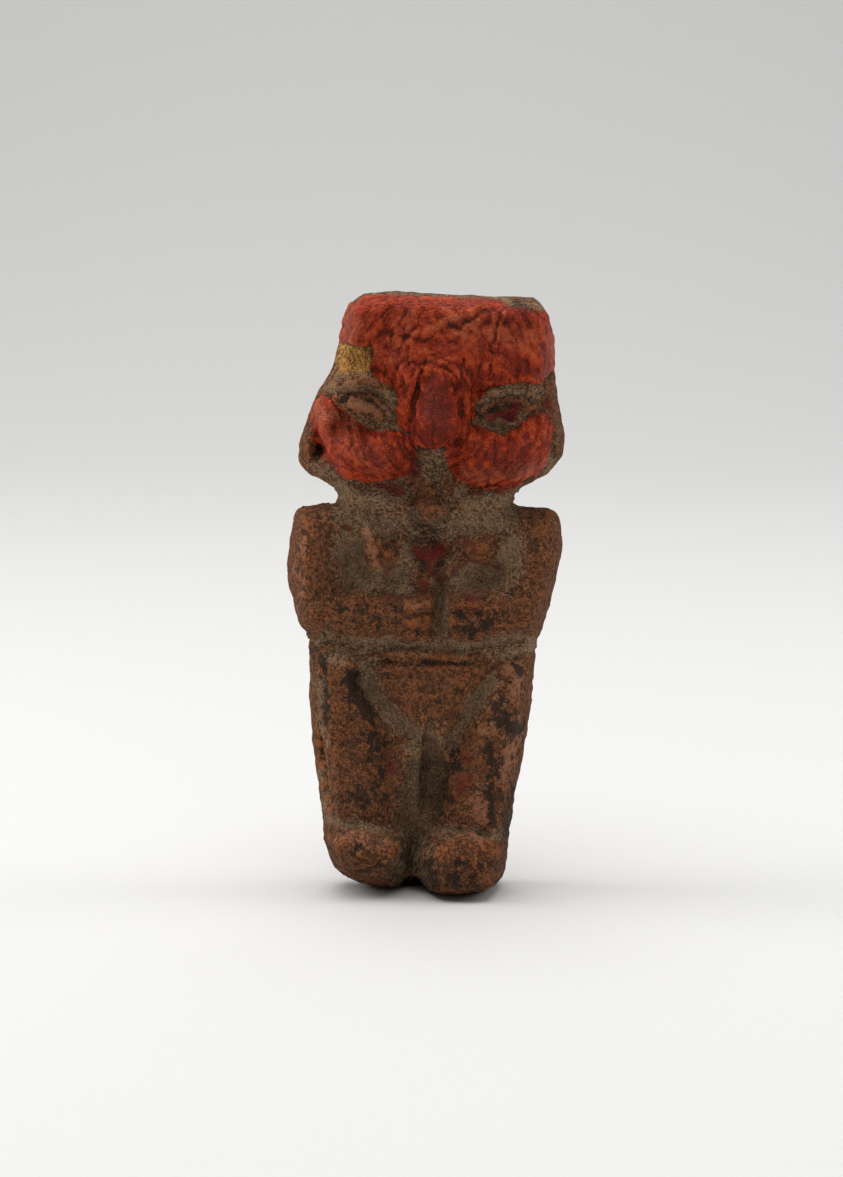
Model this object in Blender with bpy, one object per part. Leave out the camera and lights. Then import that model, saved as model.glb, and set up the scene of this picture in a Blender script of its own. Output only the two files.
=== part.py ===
"""Mould-made female figurine: one small solid of fired clay, pressed in a one-piece mould.

The front is a relief over the parting line, as a press mould leaves it, and the back is wiped smooth.
The form is worked out in hundredths of the figure's height, with x across, z up and the heights of the relief
counted forward from the parting line. It is then drawn to the real sizes below, in metres.
The finished figure stands on z = 0 with its face to -Y.
"""

import math

import bmesh
import bpy
import numpy as np

# Driving dimensions, in metres
LEG_HEIGHT = 0.0366  # soles to the waist
TRUNK_HEIGHT = 0.0187  # waist to the tops of the shoulders
HEAD_HEIGHT = 0.0297  # tops of the shoulders to the top of the head
HEAD_WIDTH = 0.0372  # across the ears
ARM_WIDTH = 0.0386  # across the bent arms
HIP_WIDTH = 0.0319
ANKLE_WIDTH = 0.0264  # across both ankles
FRONT_DEPTH = 0.0118  # parting line to the tip of the nose
BACK_DEPTH = 0.0062  # parting line to the fullest part of the back

# How finely the surface is divided
ROWS = 88
FRONT_COLUMNS = 43
BACK_COLUMNS = 9
COLUMNS = FRONT_COLUMNS + BACK_COLUMNS
EDGE_CROWDING = 0.4  # 0 spaces the columns evenly, 1 gathers them at the edges like points round a circle

# From here on, sizes and places are in hundredths of the figure's height.
# The outline at the parting line, in pairs of points from the head down to the soles: left x, z, right x, z
OUTLINE = (
    (-10.2, 99.7, 18.0, 99.2),  # corners of the flat top
    (-12.0, 98.3, 19.3, 98.1),
    (-13.3, 96.2, 20.4, 96.0),
    (-14.3, 92.3, 21.1, 92.0),  # forehead
    (-15.3, 87.7, 21.4, 86.8),
    (-17.4, 84.3, 21.8, 83.2),  # temples
    (-19.4, 80.2, 22.5, 79.4),
    (-20.9, 76.0, 23.0, 75.5),  # ears
    (-21.0, 72.8, 22.4, 72.8),
    (-19.6, 70.6, 20.6, 70.6),
    (-17.0, 69.0, 18.2, 69.0),  # jaw
    (-15.1, 67.7, 15.7, 67.5),
    (-14.6, 66.4, 14.6, 66.4),  # neck
    (-15.4, 65.2, 15.0, 65.1),
    (-18.6, 64.8, 17.8, 64.3),
    (-21.1, 64.3, 20.8, 63.8),  # shoulders
    (-22.0, 62.5, 22.2, 62.2),
    (-22.8, 58.0, 22.9, 58.0),  # upper arms
    (-23.1, 53.6, 22.2, 53.6),
    (-21.5, 45.8, 19.9, 45.8),  # elbows
    (-20.0, 43.6, 19.1, 43.4),
    (-19.4, 41.3, 18.5, 41.2),  # waist
    (-19.7, 34.0, 17.8, 33.4),  # hips
    (-19.4, 28.0, 17.2, 27.4),
    (-18.0, 16.9, 15.3, 16.6),  # legs
    (-17.0, 9.0, 14.0, 8.6),
    (-15.9, 4.3, 13.4, 3.8),  # feet
    (-13.6, 1.8, 12.6, 1.4),
    (-9.5, 0.1, 10.0, 0.1),  # edges of the soles
)

# Heights on the drawn figure at which the driving dimensions are taken
WAIST_Z = 43
SHOULDER_Z = 65
EAR_Z = 76
ARM_Z = 55
HIP_Z = 34
ANKLE_Z = 9

# The underside. The feet reach below the level at which the soles are cut flat, and the web stays above it.
RIGHT_SOLE_DROP = 0.55
LEFT_SOLE_DROP = 0.5
WEB_RISE = 1.6
WEB_X = -2.2
WEB_HALF_WIDTH = 1.8
TOE_LIFT = 0.17  # the left foot's rise, for each unit that it reaches forward
LEFT_TOE_ROUNDING = 1.6  # how much further in the edge of the left foot is rounded

# Values that change with height on the figure, as height and value
ROW_DENSITY = (
    (0, 2.0), (8, 1.2), (16, 0.7), (30, 0.9), (43, 1.3), (50, 1.3), (56, 1.0),
    (62, 1.3), (72, 1.4), (80, 1.3), (87, 1.1), (91, 0.8), (96, 0.9), (100, 2.0),
)
CLAY_BED = (
    (0, 7.5), (8, 7.0), (24, 6.4), (42, 7.4), (52, 6.4), (62, 6.2), (72, 7.0), (86, 6.8), (100, 7.4),
)
BACK_BED = (
    (0, 5.2), (6, 5.5), (20, 6.2), (34, 7.0), (42, 6.6), (52, 7.2), (66, 5.8), (74, 6.8), (100, 6.2),
)
EDGE_REACH = ((0, 4.6), (10, 4.0), (40, 3.9), (62, 3.8), (66, 3.0), (70, 3.8), (92, 3.6), (100, 2.4))
EDGE_POWER = ((90, 2.1), (100, 2.8))

# The top's rise between its corners, as x and rise
TOP_RISE = ((-12, 0.1), (-6, 0.6), (0, 0.4), (4, 0.1))

CLAY_COLOUR = (0.105, 0.040, 0.020, 1.0)
CLAY_ROUGHNESS = 0.78


def banded(bands, at):
    """The value that a table gives at each place, changing evenly between its entries."""
    places, values = zip(*bands)
    return np.interp(at, places, values)


def smooth_step(value, low, high):
    share = np.clip((value - low) / (high - low), 0, 1)
    return share * share * (3 - 2 * share)


def fuse(a, b, soft):
    """The higher of two heights, with the valley between them filled over a height of soft."""
    overlap = np.clip(soft - np.abs(a - b), 0, None)
    return np.maximum(a, b) + overlap**2 / (4 * soft)


def press(a, b, soft):
    """The lower of two heights, with its rim rounded over a height of soft."""
    return -fuse(-a, -b, soft)


def mound(x, z, centre, radii, top, foot, turn=0.0, square=2.0, crown=2.0):
    """A mound that is as high as top at its centre and foot at its rim, and goes on falling outside it."""
    angle = math.radians(turn)
    across = (math.cos(angle) * (x - centre[0]) + math.sin(angle) * (z - centre[1])) / radii[0]
    along = (math.cos(angle) * (z - centre[1]) - math.sin(angle) * (x - centre[0])) / radii[1]
    out = (np.abs(across) ** square + np.abs(along) ** square) ** (1 / square)
    return top - (top - foot) * out**crown


def nearest_on(x, z, path):
    """Distance from each point to the line through path, and the share of the line at which it is nearest."""
    best = np.full(np.shape(x), np.inf)
    share = np.zeros(np.shape(x))
    pieces = len(path) - 1
    for i in range(pieces):
        (ax, az), (bx, bz) = path[i : i + 2]
        s = ((x - ax) * (bx - ax) + (z - az) * (bz - az)) / ((bx - ax) ** 2 + (bz - az) ** 2)
        s = np.clip(s, 0, 1)
        away = np.hypot(x - ax - s * (bx - ax), z - az - s * (bz - az))
        share = np.where(away < best, (i + s) / pieces, share)
        best = np.minimum(away, best)
    return best, share


def limb(x, z, path, radii, tops, foot, crown=2.0):
    """A rounded limb along path, whose radius and top change evenly from each point to the next."""
    away, share = nearest_on(x, z, path)
    knots = np.linspace(0, 1, len(path))
    top = np.interp(share, knots, tops)
    return top - (top - foot) * (away / np.interp(share, knots, radii)) ** crown


def scored(h, x, z, path, width, depth):
    """The relief with a soft groove drawn along path."""
    away, _ = nearest_on(x, z, path)
    return h - depth * np.exp(-((away / width) ** 2))


def shaped_forehead(h, x, z):
    """The thick flat block over the brow, and the smaller lobe that stands apart from it on the left."""
    h = fuse(h, mound(x, z, (7.6, 93.6), (16.2, 8.2), 10.8, 7.2, square=4.5, crown=4), 0.5)
    h = fuse(h, mound(x, z, (-9.7, 95.8), (5.5, 5.0), 10.6, 6.0, turn=-15, square=2.8, crown=3), 0.4)
    return scored(h, x, z, ((-9.4, 90.6), (-8.2, 93.2), (-7.6, 96.0)), 0.9, 1.0)


def shaped_temples(h, x, z):
    h = press(h, mound(x, z, (-12.2, 89.3), (3.8, 2.7), 5.2, 7.8), 0.6)
    return press(h, mound(x, z, (19.2, 82.8), (2.0, 2.8), 5.4, 7.4), 0.6)


def shaped_mouth(h, x, z):
    """A small V of lips over a knob of a chin, with the lines of the jaw running down to it."""
    left_jaw = ((-14.2, 68.4), (-7.6, 66.6), (-2.0, 64.6))
    h = fuse(h, limb(x, z, left_jaw, (2.4, 2.4, 2.0), (7.3, 7.3, 7.6), 6.2), 0.8)
    right_jaw = ((14.2, 68.2), (9.0, 66.6), (3.6, 64.0))
    h = fuse(h, limb(x, z, right_jaw, (2.4, 2.4, 2.0), (7.5, 7.5, 7.6), 6.2), 0.8)
    h = fuse(h, mound(x, z, (1.6, 70.4), (4.8, 5.4), 8.5, 6.8), 0.8)
    lips = ((-1.2, 69.9), (0.2, 68.2), (1.4, 67.5), (2.7, 68.2), (4.0, 69.9))
    h = fuse(h, limb(x, z, lips, (1.0, 1.1, 1.3, 1.1, 1.0), (8.5, 8.8, 9.1, 8.8, 8.5), 7.8), 0.4)
    h = fuse(h, mound(x, z, (0.9, 64.8), (2.9, 2.5), 11.2, 7.2, square=2.3, crown=2.3), 0.3)
    return scored(h, x, z, ((-1.9, 67.1), (0.8, 66.7), (3.9, 67.1)), 0.4, 0.6)


def shaped_cheeks(h, x, z):
    h = fuse(h, mound(x, z, (-9.4, 74.7), (9.4, 5.4), 12.0, 6.6, turn=-5, square=2.2, crown=2.1), 0.6)
    left_side = ((-15.0, 74.6), (-16.3, 77.6), (-16.4, 81.4))
    h = fuse(h, limb(x, z, left_side, (2.6, 2.4, 1.8), (9.4, 9.0, 8.0), 6.8), 0.6)
    return fuse(h, mound(x, z, (12.4, 74.8), (9.5, 5.5), 12.2, 6.6, turn=4, square=2.2, crown=2.1), 0.6)


def shaped_eyes(h, x, z):
    """Almond eyes in shallow sockets, each under a curved lid."""
    h = press(h, mound(x, z, (-10.2, 81.7), (6.4, 4.7), 6.9, 9.0, turn=-22, crown=3), 0.5)
    h = press(h, mound(x, z, (12.9, 81.8), (5.9, 4.4), 6.8, 9.0, turn=6, square=2.4, crown=3), 0.4)
    left_lid = ((-16.6, 84.2), (-13.4, 86.1), (-9.4, 86.7), (-6.2, 85.4), (-4.8, 82.4))
    h = fuse(h, limb(x, z, left_lid, (1.1, 1.7, 1.9, 1.6, 1.1), (7.8, 8.6, 8.8, 8.6, 7.9), 6.9), 0.5)
    right_lid = ((8.9, 81.6), (10.4, 83.7), (13.2, 84.6), (16.0, 83.6), (17.0, 81.8))
    h = fuse(h, limb(x, z, right_lid, (1.0, 1.4, 1.6, 1.4, 1.0), (7.5, 8.1, 8.3, 8.0, 7.4), 6.8), 0.5)
    h = fuse(h, mound(x, z, (-10.1, 81.2), (5.6, 2.7), 8.7, 6.9, turn=-28, square=1.7, crown=2.6), 0.3)
    return fuse(h, mound(x, z, (12.6, 80.9), (4.2, 2.2), 8.4, 6.8, turn=12, square=1.8, crown=2.6), 0.3)


def shaped_nose(h, x, z):
    """A round knob of a brow that runs down on both sides of the long, heavy nose."""
    brow = ((1.7, 87.0), (1.7, 82.0), (1.8, 78.6))
    h = fuse(h, limb(x, z, brow, (7.0, 6.6, 6.0), (11.2, 11.3, 10.6), 7.6, crown=3.4), 0.7)
    ridge = ((2.1, 85.4), (2.0, 82.0), (1.9, 79.6))
    h = fuse(h, limb(x, z, ridge, (3.2, 3.5, 3.9), (12.0, 13.2, 13.9), 10.2, crown=2.4), 0.6)
    h = scored(h, x, z, ((-0.6, 86.4), (-2.0, 82.4), (-2.4, 79.0), (-1.6, 76.2)), 0.6, 1.0)
    return scored(h, x, z, ((4.6, 86.4), (5.7, 82.4), (6.0, 79.0), (5.0, 76.2)), 0.6, 1.0)


def shaped_ears(h, x, z):
    """Two flat ears at the edges of the face, the left one with a deep hole."""
    h = press(h, mound(x, z, (-18.9, 74.9), (1.6, 3.6), 4.6, 6.6), 0.5)
    h = press(h, mound(x, z, (-17.9, 74.8), (0.9, 1.6), 2.4, 5.6), 0.5)
    left_rim = ((-19.2, 78.4), (-20.2, 75.0), (-19.2, 71.8))
    h = fuse(h, limb(x, z, left_rim, (1.2, 1.3, 1.3), (6.8, 6.6, 6.4), 4.6), 0.5)
    h = press(h, mound(x, z, (20.9, 76.4), (0.8, 4.0), 6.0, 7.8, turn=-4), 0.5)
    right_rim = ((21.3, 80.2), (22.0, 76.6), (21.4, 73.0))
    return fuse(h, limb(x, z, right_rim, (1.1, 1.1, 1.1), (7.4, 7.2, 7.0), 5.4), 0.5)


def shaped_chest(h, x, z):
    """Small breasts over the hollows between the bent arms."""
    h = press(h, mound(x, z, (-12.5, 55.0), (4.2, 4.8), 4.0, 6.8), 0.7)
    h = press(h, mound(x, z, (10.4, 53.4), (5.4, 3.2), 4.8, 6.8), 0.7)
    h = press(h, mound(x, z, (-4.8, 53.4), (3.6, 2.0), 5.0, 6.8), 0.6)
    h = fuse(h, mound(x, z, (-8.5, 58.4), (2.6, 4.4), 8.6, 6.4, turn=8), 0.6)
    h = fuse(h, mound(x, z, (-6.1, 57.3), (1.4, 1.8), 9.4, 7.2, turn=20), 0.4)
    h = fuse(h, mound(x, z, (9.3, 58.7), (3.2, 2.9), 8.9, 6.4), 0.6)
    h = fuse(h, mound(x, z, (0.3, 57.6), (2.6, 3.4), 7.3, 6.4), 0.6)
    return scored(h, x, z, ((4.5, 54.4), (7.0, 56.3), (9.6, 55.9), (11.6, 55.0)), 0.45, 0.5)


def shaped_arms(h, x, z):
    """Upper arms along the sides, and forearms across the body to hands that nearly meet."""
    left_upper = ((-18.0, 62.4), (-19.0, 57.0), (-18.3, 50.2))
    h = fuse(h, limb(x, z, left_upper, (4.4, 4.6, 4.5), (8.0, 8.9, 9.5), 6.0), 0.8)
    right_upper = ((17.9, 61.4), (18.6, 56.5), (17.2, 50.4))
    h = fuse(h, limb(x, z, right_upper, (4.6, 5.0, 4.6), (7.8, 8.8, 9.3), 6.0), 0.8)
    left_lower = ((-18.0, 48.0), (-11.0, 47.0), (-2.4, 46.4))
    h = fuse(h, limb(x, z, left_lower, (4.1, 4.0, 3.7), (10.0, 10.1, 9.7), 6.4, crown=2.2), 0.6)
    right_lower = ((16.8, 48.6), (10.7, 47.0), (5.4, 46.6))
    h = fuse(h, limb(x, z, right_lower, (4.3, 4.2, 3.8), (9.7, 10.0, 9.6), 6.4, crown=2.2), 0.6)
    for finger_z, top in ((49.0, 10.3), (46.6, 10.4), (44.5, 9.4)):
        left_finger = ((-2.9, finger_z - 0.2), (0.8, finger_z + 0.1))
        h = fuse(h, limb(x, z, left_finger, (1.3, 1.0), (top, top - 0.5), 8.4, crown=1.6), 0.5)
        right_finger = ((4.4, finger_z + 0.1), (8.8, finger_z - 0.1))
        h = fuse(h, limb(x, z, right_finger, (1.0, 1.3), (top - 0.5, top), 8.4, crown=1.6), 0.5)
    return scored(h, x, z, ((2.6, 53.0), (2.4, 48.5), (2.2, 44.6)), 1.0, 2.2)


def shaped_waist(h, x, z):
    """The pinched waist, and the two cords of the belt under it."""
    crease = ((-19.6, 44.4), (-15.0, 43.0), (-8.0, 42.2), (0, 41.9), (9.0, 42.2), (14.0, 43.0), (19.0, 44.0))
    h = scored(h, x, z, crease, 1.0, 0.5)
    upper_cord = ((-6.0, 40.8), (-2.2, 40.3), (1.6, 40.7), (5.4, 40.2))
    h = fuse(h, limb(x, z, upper_cord, (0.7, 1.1, 1.0, 0.7), (8.2, 8.4, 8.4, 8.2), 7.6), 0.5)
    lower_cord = ((-9.8, 37.9), (-4.0, 38.6), (2.0, 38.2), (7.0, 38.4), (12.0, 37.6))
    return fuse(h, limb(x, z, lower_cord, (0.8, 1.1, 1.2, 1.1, 0.8), (8.3, 8.6, 8.7, 8.6, 8.3), 7.6), 0.5)


def shaped_legs(h, x, z):
    """Two thick legs, with a nub on the left hip and a pit under it."""
    left = ((-14.2, 37.4), (-12.8, 28.0), (-11.0, 18.0), (-10.6, 9.0))
    h = fuse(h, limb(x, z, left, (4.4, 5.8, 6.2, 5.8), (9.3, 9.8, 9.4, 9.0), 6.0, crown=2.4), 0.7)
    right = ((13.3, 36.6), (11.2, 28.0), (8.9, 18.0), (7.2, 8.6))
    h = fuse(h, limb(x, z, right, (3.8, 5.2, 5.6, 5.6), (9.1, 9.6, 9.3, 9.0), 6.0, crown=2.4), 0.7)
    h = fuse(h, mound(x, z, (-13.4, 39.2), (2.4, 1.5), 9.9, 8.2), 0.4)
    return press(h, mound(x, z, (-11.4, 36.6), (1.2, 2.2), 6.4, 8.6, turn=-10), 0.5)


def shaped_belly(h, x, z):
    """The belly, which narrows to a blunt point, with a groove along each groin."""
    point = mound(x, z, (1.4, 36.0), (10.2, 11.0), 9.5, 7.2, square=1.3, crown=3)
    band = mound(x, z, (1.4, 30.0), (30.0, 8.6), 9.5, 7.4, crown=6)
    h = fuse(h, np.minimum(point, band), 0.4)
    left_groin = ((-10.2, 37.6), (-8.9, 34.4), (-6.7, 31.1), (-3.6, 28.2), (-0.6, 26.6))
    h = scored(h, x, z, left_groin, 1.4, 1.5)
    h = scored(h, x, z, ((11.0, 36.6), (8.7, 33.2), (6.2, 29.4), (3.7, 25.6)), 1.4, 1.4)
    return scored(h, x, z, ((0.9, 29.8), (0.8, 26.0)), 0.5, 1.0)


def shaped_hollow(h, x, z):
    """The hollow between the legs, deepest in a cleft beside the right leg."""
    middle = ((0.4, 26.0), (-0.7, 20.5), (-1.0, 16.8), (-1.8, 12.5), (-2.4, 8.0), (-2.4, 1.0))
    floors = (6.6, 3.8, 2.8, 2.4, 2.0, 2.0)
    h = press(h, limb(x, z, middle, (1.4, 4.0, 4.4, 3.9, 2.9, 2.0), floors, 8.8, crown=2.6), 0.8)
    cleft = ((0.9, 25.5), (1.3, 21.0), (1.1, 17.0), (0.0, 13.0))
    return press(h, limb(x, z, cleft, (0.8, 2.4, 2.6, 2.0), (4.4, 1.6, 0.8, 1.8), 5.4), 1.4)


def shaped_feet(h, x, z):
    """Two blunt feet that jut forward."""
    left = mound(x, z, (-10.7, 5.4), (6.8, 7.3), 12.7, 8.2, turn=-8, square=2.5, crown=3)
    right = mound(x, z, (6.6, 4.0), (7.4, 6.8), 13.9, 8.2, turn=-5, square=2.5, crown=3)
    h = scored(h, x, z, ((-16.4, 12.7), (-11.0, 13.0), (-6.4, 11.2)), 1.0, 0.8)
    h = scored(h, x, z, ((1.0, 10.0), (4.0, 11.2), (9.0, 11.0), (13.4, 9.8)), 1.0, 0.8)
    return fuse(h, np.maximum(left, right), 0.3)


def front_relief(x, z):
    """Height of the moulded front over the parting line, before its edges are rounded."""
    forehead = shaped_forehead, shaped_temples
    face = shaped_mouth, shaped_cheeks, shaped_eyes, shaped_nose, shaped_ears
    trunk = shaped_chest, shaped_arms, shaped_waist
    legs = shaped_legs, shaped_belly, shaped_hollow, shaped_feet
    h = banded(CLAY_BED, z)
    for shaped in forehead + face + trunk + legs:
        h = shaped(h, x, z)
    return h


def back_relief(x, z):
    """Height of the wiped back behind the parting line: slightly domed, with a channel down its middle."""
    dome = banded(BACK_BED, z) - 0.9 * (x / 20) ** 2
    channel = np.exp(-((x / 3.2) ** 2)) * smooth_step(z, 8, 30) * smooth_step(-z, -64, -50)
    return dome - 0.5 * channel


def left_foot(x, z):
    """1 at the sole of the left foot, falling to 0 beside and above it."""
    return smooth_step(-x, 1.5, 5) * smooth_step(-z, -11, -2)


def rounded_edge(away, x, z):
    """Share of the relief that is left this far inside the outline, as a quarter of a superellipse."""
    reach = banded(EDGE_REACH, z) + LEFT_TOE_ROUNDING * left_foot(x, z)
    power = banded(EDGE_POWER, z)
    inside = np.clip(away / reach, 0, 1)
    return (1 - (1 - inside) ** power) ** (1 / power)


def outline_at(at):
    """Both ends of rows, on a Catmull-Rom curve through the outline's pairs, at fractional pair numbers."""
    pairs = np.array(OUTLINE)
    pairs = np.vstack([2 * pairs[0] - pairs[1], pairs, 2 * pairs[-1] - pairs[-2]])
    start = np.clip(np.floor(at).astype(int), 0, len(OUTLINE) - 2)
    s = (at - start)[:, None]
    a, b, c, d = (pairs[start + k] for k in range(4))
    return 0.5 * (2 * b + (c - a) * s + (2 * a - 5 * b + 4 * c - d) * s**2 + (3 * b - a - 3 * c + d) * s**3)


def row_points(at, across):
    """x and z of points along rows, from -1 at the left outline to 1 at the right. The end rows are bent."""
    ends = outline_at(at)
    share = (across + 1) / 2
    x = ends[:, 0:1] * (1 - share) + ends[:, 2:3] * share
    z = ends[:, 1:2] * (1 - share) + ends[:, 3:4] * share
    inner = 1 - across**8
    web = np.exp(-(((x - WEB_X) / WEB_HALF_WIDTH) ** 4))
    drop = RIGHT_SOLE_DROP + (LEFT_SOLE_DROP - RIGHT_SOLE_DROP) * smooth_step(-x, 1, 4)
    bottom = smooth_step(-z, -9, 0) * (WEB_RISE * web - drop * (1 - web))
    return x, z + inner * (bottom + smooth_step(z, 94, 99) * banded(TOP_RISE, x))


def row_places(rows):
    """Fractional pair numbers of rows, spaced along the surface and crowded where ROW_DENSITY asks for it."""
    at = np.linspace(0, len(OUTLINE) - 1, 3001)
    x, z = row_points(at, np.array([[-1.0, 0.0, 1.0]]))
    travel = np.hypot(np.diff(x, axis=0), np.diff(z, axis=0))
    step = np.hypot(travel[:, 1], 0.6 * np.maximum(travel[:, 0], travel[:, 2]))
    along = np.cumsum(step * banded(ROW_DENSITY, z[1:, 1]))
    return np.interp((rows + 0.5) / ROWS * along[-1], along, at[1:])


def column_places(columns):
    """Where columns cross each row: from -1 to 1 over the front, and then from 1 back to -1 behind."""
    turn = np.interp(columns, (0, FRONT_COLUMNS, COLUMNS), (0, 1, 2))
    even = 1 - 2 * np.abs(turn - 1)
    return even + EDGE_CROWDING * (-np.cos(np.pi * turn) - even)


def inward_distance(x, z):
    """Distance from points to the outline, taken as a closed line of short pieces."""
    at = np.linspace(0, len(OUTLINE) - 1, 200)
    sides = np.stack(row_points(at, np.array([[-1.0, 1.0]])), axis=-1)
    ends = np.stack(row_points(at[[0, -1]], np.linspace(-1, 1, 60)[None, :]), axis=-1)
    loop = np.vstack([sides[:, 0], ends[1, 1:-1], sides[::-1, 1], ends[0, -2::-1]])
    away = np.full(x.shape, np.inf)
    for i in range(len(loop) - 1):
        away = np.minimum(away, nearest_on(x, z, loop[i : i + 2])[0])
    return away


def clay_surface(rows, columns):
    """Points where rows, numbered from the top, meet columns, numbered round from the left over the front."""
    across = column_places(columns)[None, :]
    x, z = row_points(row_places(rows), across)
    away = np.where(np.abs(across) < 1, inward_distance(x, z), 0)
    y = np.where(columns <= FRONT_COLUMNS, -front_relief(x, z), back_relief(x, z))
    y = y * rounded_edge(away, x, z)
    z = z + TOE_LIFT * np.clip(-y, 0, None) * left_foot(x, z)
    return np.stack([x, y, z], axis=-1)


def best_diagonals(points, middles):
    """Whether each face is split from its upper left corner or its lower left: along the truer diagonal."""
    beside = np.roll(points, -1, axis=1)
    falling = (points[:-1] + beside[1:]) / 2 - middles
    rising = (points[1:] + beside[:-1]) / 2 - middles
    return np.linalg.norm(falling, axis=-1) < np.linalg.norm(rising, axis=-1)


def drawn_width(z):
    """Width between the two sides of the outline at a height."""
    left_x, left_z, right_x, right_z = np.array(OUTLINE[::-1]).T
    return np.interp(z, right_z, right_x) - np.interp(z, left_z, left_x)


def drawn_to_size(points):
    """The points in metres, at the named heights, widths and depths, about the middle of their box."""
    x, y, z = np.moveaxis(points, -1, 0)
    widths = (ANKLE_Z, ANKLE_WIDTH), (HIP_Z, HIP_WIDTH), (ARM_Z, ARM_WIDTH), (EAR_Z, HEAD_WIDTH)
    x = x * banded([(level, width / drawn_width(level)) for level, width in widths], z)
    x = x - (x.min() + x.max()) / 2
    y = np.where(y < 0, -y * FRONT_DEPTH / y.min(), y * BACK_DEPTH / y.max())
    y = y + (FRONT_DEPTH - BACK_DEPTH) / 2
    heights = np.cumsum((0, LEG_HEIGHT, TRUNK_HEIGHT, HEAD_HEIGHT))
    under_the_soles = np.minimum(z, 0) * LEG_HEIGHT / WAIST_Z
    z = np.interp(z, (0, WAIST_Z, SHOULDER_Z, z.max()), heights) + under_the_soles
    return np.stack([x, y, z], axis=-1)


def clay_blank():
    """A capped cylinder ringed at every row, and its vertices by row and column."""
    clay = bmesh.new()
    bmesh.ops.create_cone(clay, cap_ends=True, segments=COLUMNS, radius1=1, radius2=1, depth=2)
    upright = [edge for edge in clay.edges if abs(edge.verts[0].co.z - edge.verts[1].co.z) > 1]
    bmesh.ops.subdivide_edges(clay, edges=upright, cuts=ROWS - 2)
    grid = {}
    for vertex in clay.verts:
        row = round((1 - vertex.co.z) / 2 * (ROWS - 1))
        column = round(math.atan2(-vertex.co.x, vertex.co.y) / math.tau * COLUMNS) % COLUMNS
        grid[row, column] = vertex
    return clay, grid


def split_faces(grid, falls):
    """Splits each four-cornered face from its upper left corner where falls says so, or its lower left."""
    for row, column in np.ndindex(falls.shape):
        beside = (column + 1) % COLUMNS
        if falls[row, column]:
            ends = grid[row, column], grid[row + 1, beside]
        else:
            ends = grid[row + 1, column], grid[row, beside]
        (face,) = set(ends[0].link_faces) & set(ends[1].link_faces)
        bmesh.utils.face_split(face, *ends)


def cut_soles_flat(clay):
    """Takes off what reaches below the floor, and closes each sole with a flat face."""
    ends = [face for face in clay.faces if len(face.verts) > 4]
    bmesh.ops.triangulate(clay, faces=ends, ngon_method="BEAUTY")
    everything = clay.verts[:] + clay.edges[:] + clay.faces[:]
    bmesh.ops.bisect_plane(clay, geom=everything, plane_co=(0, 0, 0), plane_no=(0, 0, 1), clear_inner=True)
    bmesh.ops.holes_fill(clay, edges=[edge for edge in clay.edges if edge.is_boundary], sides=0)
    bmesh.ops.recalc_face_normals(clay, faces=clay.faces[:])


def fired_clay():
    material = bpy.data.materials.new("fired_clay")
    material.use_nodes = True
    shader = material.node_tree.nodes["Principled BSDF"]
    shader.inputs["Base Color"].default_value = CLAY_COLOUR
    shader.inputs["Roughness"].default_value = CLAY_ROUGHNESS
    shader.inputs["Metallic"].default_value = 0.0
    return material


def build_figurine(collection):
    rows = np.arange(ROWS)
    columns = np.arange(COLUMNS)
    points = clay_surface(rows, columns)
    middles = clay_surface(rows[:-1] + 0.5, columns + 0.5)
    clay, grid = clay_blank()
    split_faces(grid, best_diagonals(points, middles))
    points = drawn_to_size(points)
    for place, vertex in grid.items():
        vertex.co = points[place]
    cut_soles_flat(clay)
    mesh = bpy.data.meshes.new("figurine")
    clay.to_mesh(mesh)
    clay.free()
    mesh.shade_smooth()
    mesh.materials.append(fired_clay())
    collection.objects.link(bpy.data.objects.new("figurine", mesh))


def main():
    for old in list(bpy.data.objects):
        bpy.data.objects.remove(old, do_unlink=True)
    collection = bpy.data.collections.new("female_figurine")
    bpy.context.scene.collection.children.link(collection)
    build_figurine(collection)


main()
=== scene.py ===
# Mould-made female figurine of fired clay, with thick red paint on the face and soil in the hollows.
# The form is worked out in hundredths of the figure's height, with x across, z up and y back from the parting
# line, and is then fitted to the box of the solid. The figure faces -Y.

import math

import bpy
import numpy as np
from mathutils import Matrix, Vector


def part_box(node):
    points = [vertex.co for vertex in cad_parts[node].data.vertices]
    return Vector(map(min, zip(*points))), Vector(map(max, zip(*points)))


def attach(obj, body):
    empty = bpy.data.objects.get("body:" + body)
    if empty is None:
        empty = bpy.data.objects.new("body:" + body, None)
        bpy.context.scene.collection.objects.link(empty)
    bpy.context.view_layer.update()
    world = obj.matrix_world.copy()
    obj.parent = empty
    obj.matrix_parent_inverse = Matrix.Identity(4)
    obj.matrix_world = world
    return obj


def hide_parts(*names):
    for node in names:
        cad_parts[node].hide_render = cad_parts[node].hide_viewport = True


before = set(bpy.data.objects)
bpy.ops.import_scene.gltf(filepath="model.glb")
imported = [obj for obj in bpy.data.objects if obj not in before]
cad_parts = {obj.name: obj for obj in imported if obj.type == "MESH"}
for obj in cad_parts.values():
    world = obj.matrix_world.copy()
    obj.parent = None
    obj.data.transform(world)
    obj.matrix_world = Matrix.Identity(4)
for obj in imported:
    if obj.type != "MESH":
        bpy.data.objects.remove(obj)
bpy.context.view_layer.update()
lowest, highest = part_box("figurine")
unit = (highest.z - lowest.z) / 100  # a hundredth of the height, in metres
frontShare = 0.6556  # of the depth, before the parting line

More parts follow.
